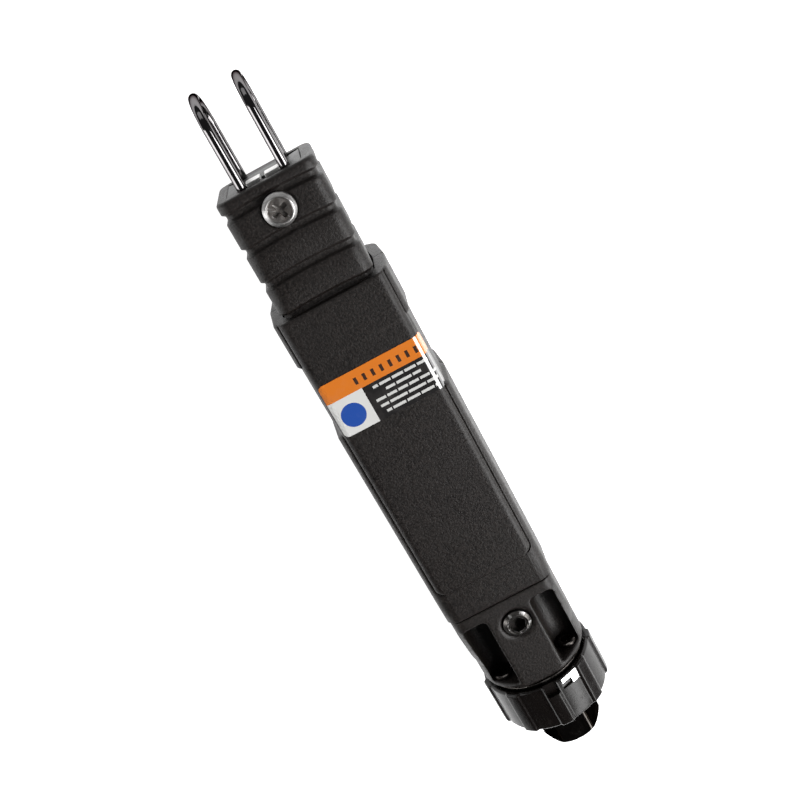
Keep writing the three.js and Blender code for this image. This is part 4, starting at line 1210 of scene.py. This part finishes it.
def labelFinish():
    # printed colour blocks: orange band, white square with a plain disc, black field with bars
    finish = Finish("printed label")
    where = finish.node("ShaderNodeTexCoord", {}, {}, "UV")
    u = finish.node("ShaderNodeSeparateXYZ", {}, {0: where}, 0)
    v = finish.node("ShaderNodeSeparateXYZ", {}, {0: where}, 1)
    width, height = labelHigh.x - labelLow.x + labelSize["sidePart"], labelHigh.y - labelLow.y
    orange, white, black = (0.80, 0.215, 0.018), (0.80, 0.80, 0.78), (0.012, 0.011, 0.011)
    blue = (0.018, 0.085, 0.42)
    bandEdge, squareEdge = 0.655, 0.32

    def dashes(low, high, pitch, gap, shift, left, right):
        line = (v > low) * (v < high) * (u > left) * (u < right)
        return line * ((((u + shift) % pitch)) < pitch - gap)

    shade = finish.mix((u > squareEdge), white, black)
    light = None
    rows = 5
    for i in range(rows):
        base = bandEdge - 0.108 - i * 0.118
        inset = (0.03, 0.12, 0.0, 0.015, 0.04)[i]
        dash = dashes(base, base + 0.048, (0.115, 0.15, 0.1, 0.17, 0.13)[i], 0.014, 0.013 * i,
                      0.37 + inset, 0.93 - inset)
        light = dash if light is None else light + dash
    shade = finish.mix(light.clamped(), shade, (0.72, 0.72, 0.70))
    discX, discY = (u - 0.155) * width, (v - 0.31) * height
    radius = (discX * discX + discY * discY) ** 0.5
    shade = finish.mix((radius < 3.15) * (u < squareEdge), shade, blue)
    shade = finish.mix(v > bandEdge, shade, orange)
    mark = dashes(bandEdge + 0.09, 0.87, 0.078, 0.05, 0.02, 0.27, 0.87)
    shade = finish.mix(mark, shade, (0.05, 0.022, 0.012))
    grit = finish.noise(0.5, 2.0, 0.6)
    smear = finish.noise(6, 3.0, 0.6)
    shade = finish.mix(smear.ramped(0.5, 0.8).clamped() * 0.12, shade, (0.35, 0.32, 0.30))
    finish.set(Base_Color=shade, Roughness=(0.24 + (smear - 0.5) * 0.15).clamped(),
               Coat_Weight=(1.0 - smear * 0.2), Coat_Roughness=0.05, Coat_IOR=2.3,
               Normal=finish.bump(grit, 0.006))
    return finish.material


finishPiece(tidyMesh(labelMesh()), labelFinish(), "root", "label_vinyl", "label")
print("label made")


# ---- carried-over parts of the mechanism ----

mechanism = {
    "clamp_plate": steel, "wave_washer": springSteel, "nose_bushing": bronze, "bumper_ring": rubber,
    "return_spring": springSteel, "hammer": steel, "trip_plate": steel, "trip_spring": springSteel,
    "trip_cam": steel, "barrel": steel, "main_spring": springSteel, "spring_seat": steel,
    "tension_screw": steel, "barrel_cap": steel,
}
for name, material in mechanism.items():
    node = nodes[name]
    node.data.materials.clear()
    node.data.materials.append(material)


# ---- studio ----

studio = {
    "floor": (0.86, 0.86, 0.86), "floorSize": 6.0, "glow": 0.95,
    "world": (0.045, 0.045, 0.046),
}


def paleFloor():
    size = studio["floorSize"]
    mesh = bpy.data.meshes.new("floor")
    mesh.from_pydata([(-size, -size, 0), (size, -size, 0), (size, size, 0), (-size, size, 0)], [],
                     [(0, 1, 2, 3)])
    floor = bpy.data.objects.new("floor", mesh)
    bpy.context.collection.objects.link(floor)
    floor.location.z = startBox[0][2] - 0.0002
    finish = Finish("studio floor")
    cloud = finish.noise(300, 2.0, 0.5)
    shade = finish.mix(cloud, studio["floor"], tuple(c * 0.98 for c in studio["floor"]))
    finish.set(Base_Color=shade, Roughness=0.9, Specular_IOR_Level=0.1,
               Emission_Color=(1, 1, 1), Emission_Strength=studio["glow"])
    floor.data.materials.append(finish.material)


def softLight(name, place, target, width, height, power, tint=(1, 1, 1)):
    light = bpy.data.lights.new(name, "AREA")
    light.shape = "RECTANGLE"
    light.size, light.size_y = width, height
    light.energy = power
    light.color = tint
    holder = bpy.data.objects.new(name, light)
    bpy.context.collection.objects.link(holder)
    holder.location = place
    aim = Vector(target) - Vector(place)
    holder.rotation_mode = "QUATERNION"
    holder.rotation_quaternion = aim.to_track_quat("-Z", "Y")


paleFloor()
softLight("right softbox", (0.42, -0.20, 0.44), (0, 0, 0.02), 0.52, 0.44, 5.2)
softLight("near softbox", (0.24, -0.48, 0.36), (0, -0.06, 0.02), 0.26, 0.18, 1.0)
softLight("left softbox", (-0.66, 0.04, 0.28), (0, 0.05, 0.02), 0.22, 0.50, 1.8)
softLight("far fill", (0.0, 0.9, 0.6), (0, 0, 0.02), 1.2, 0.4, 1.2)

world = bpy.data.worlds.new("studio air")
world.use_nodes = True
world.node_tree.nodes["Background"].inputs["Color"].default_value = (*studio["world"], 1)
bpy.context.scene.world = world

view = {
    "lookAt": (2.732, 19.7, 32.9), "distance": 259.0, "pitch": 21.5, "yaw": 3.666,
    "lean": 29.249, "lens": 48.15,
}


def photoCamera():
    pitch, lean = math.radians(view["pitch"]), math.radians(view["lean"])
    yaw = Matrix.Rotation(math.radians(view["yaw"]), 3, "Y")
    right = yaw @ Vector((1, 0, 0))
    up = yaw @ Vector((0, math.cos(pitch), -math.sin(pitch)))
    away = yaw @ Vector((0, math.sin(pitch), math.cos(pitch)))    # from the tool to the camera
    imageUp = up * math.cos(lean) + right * math.sin(lean)
    imageRight = right * math.cos(lean) - up * math.sin(lean)
    data = bpy.data.cameras.new("camera")
    data.lens = view["lens"]
    data.sensor_width = 36
    data.clip_start, data.clip_end = 0.01, 20
    camera = bpy.data.objects.new("camera", data)
    bpy.context.collection.objects.link(camera)
    place = Vector(view["lookAt"]) * mm + away * view["distance"] * mm
    turn = Matrix((imageRight, imageUp, away)).transposed().to_4x4()
    camera.matrix_world = Matrix.Translation(place) @ turn
    bpy.context.scene.camera = camera


photoCamera()
bpy.context.scene.view_settings.view_transform = "Standard"

bpy.context.view_layer.update()
print("scene ready")
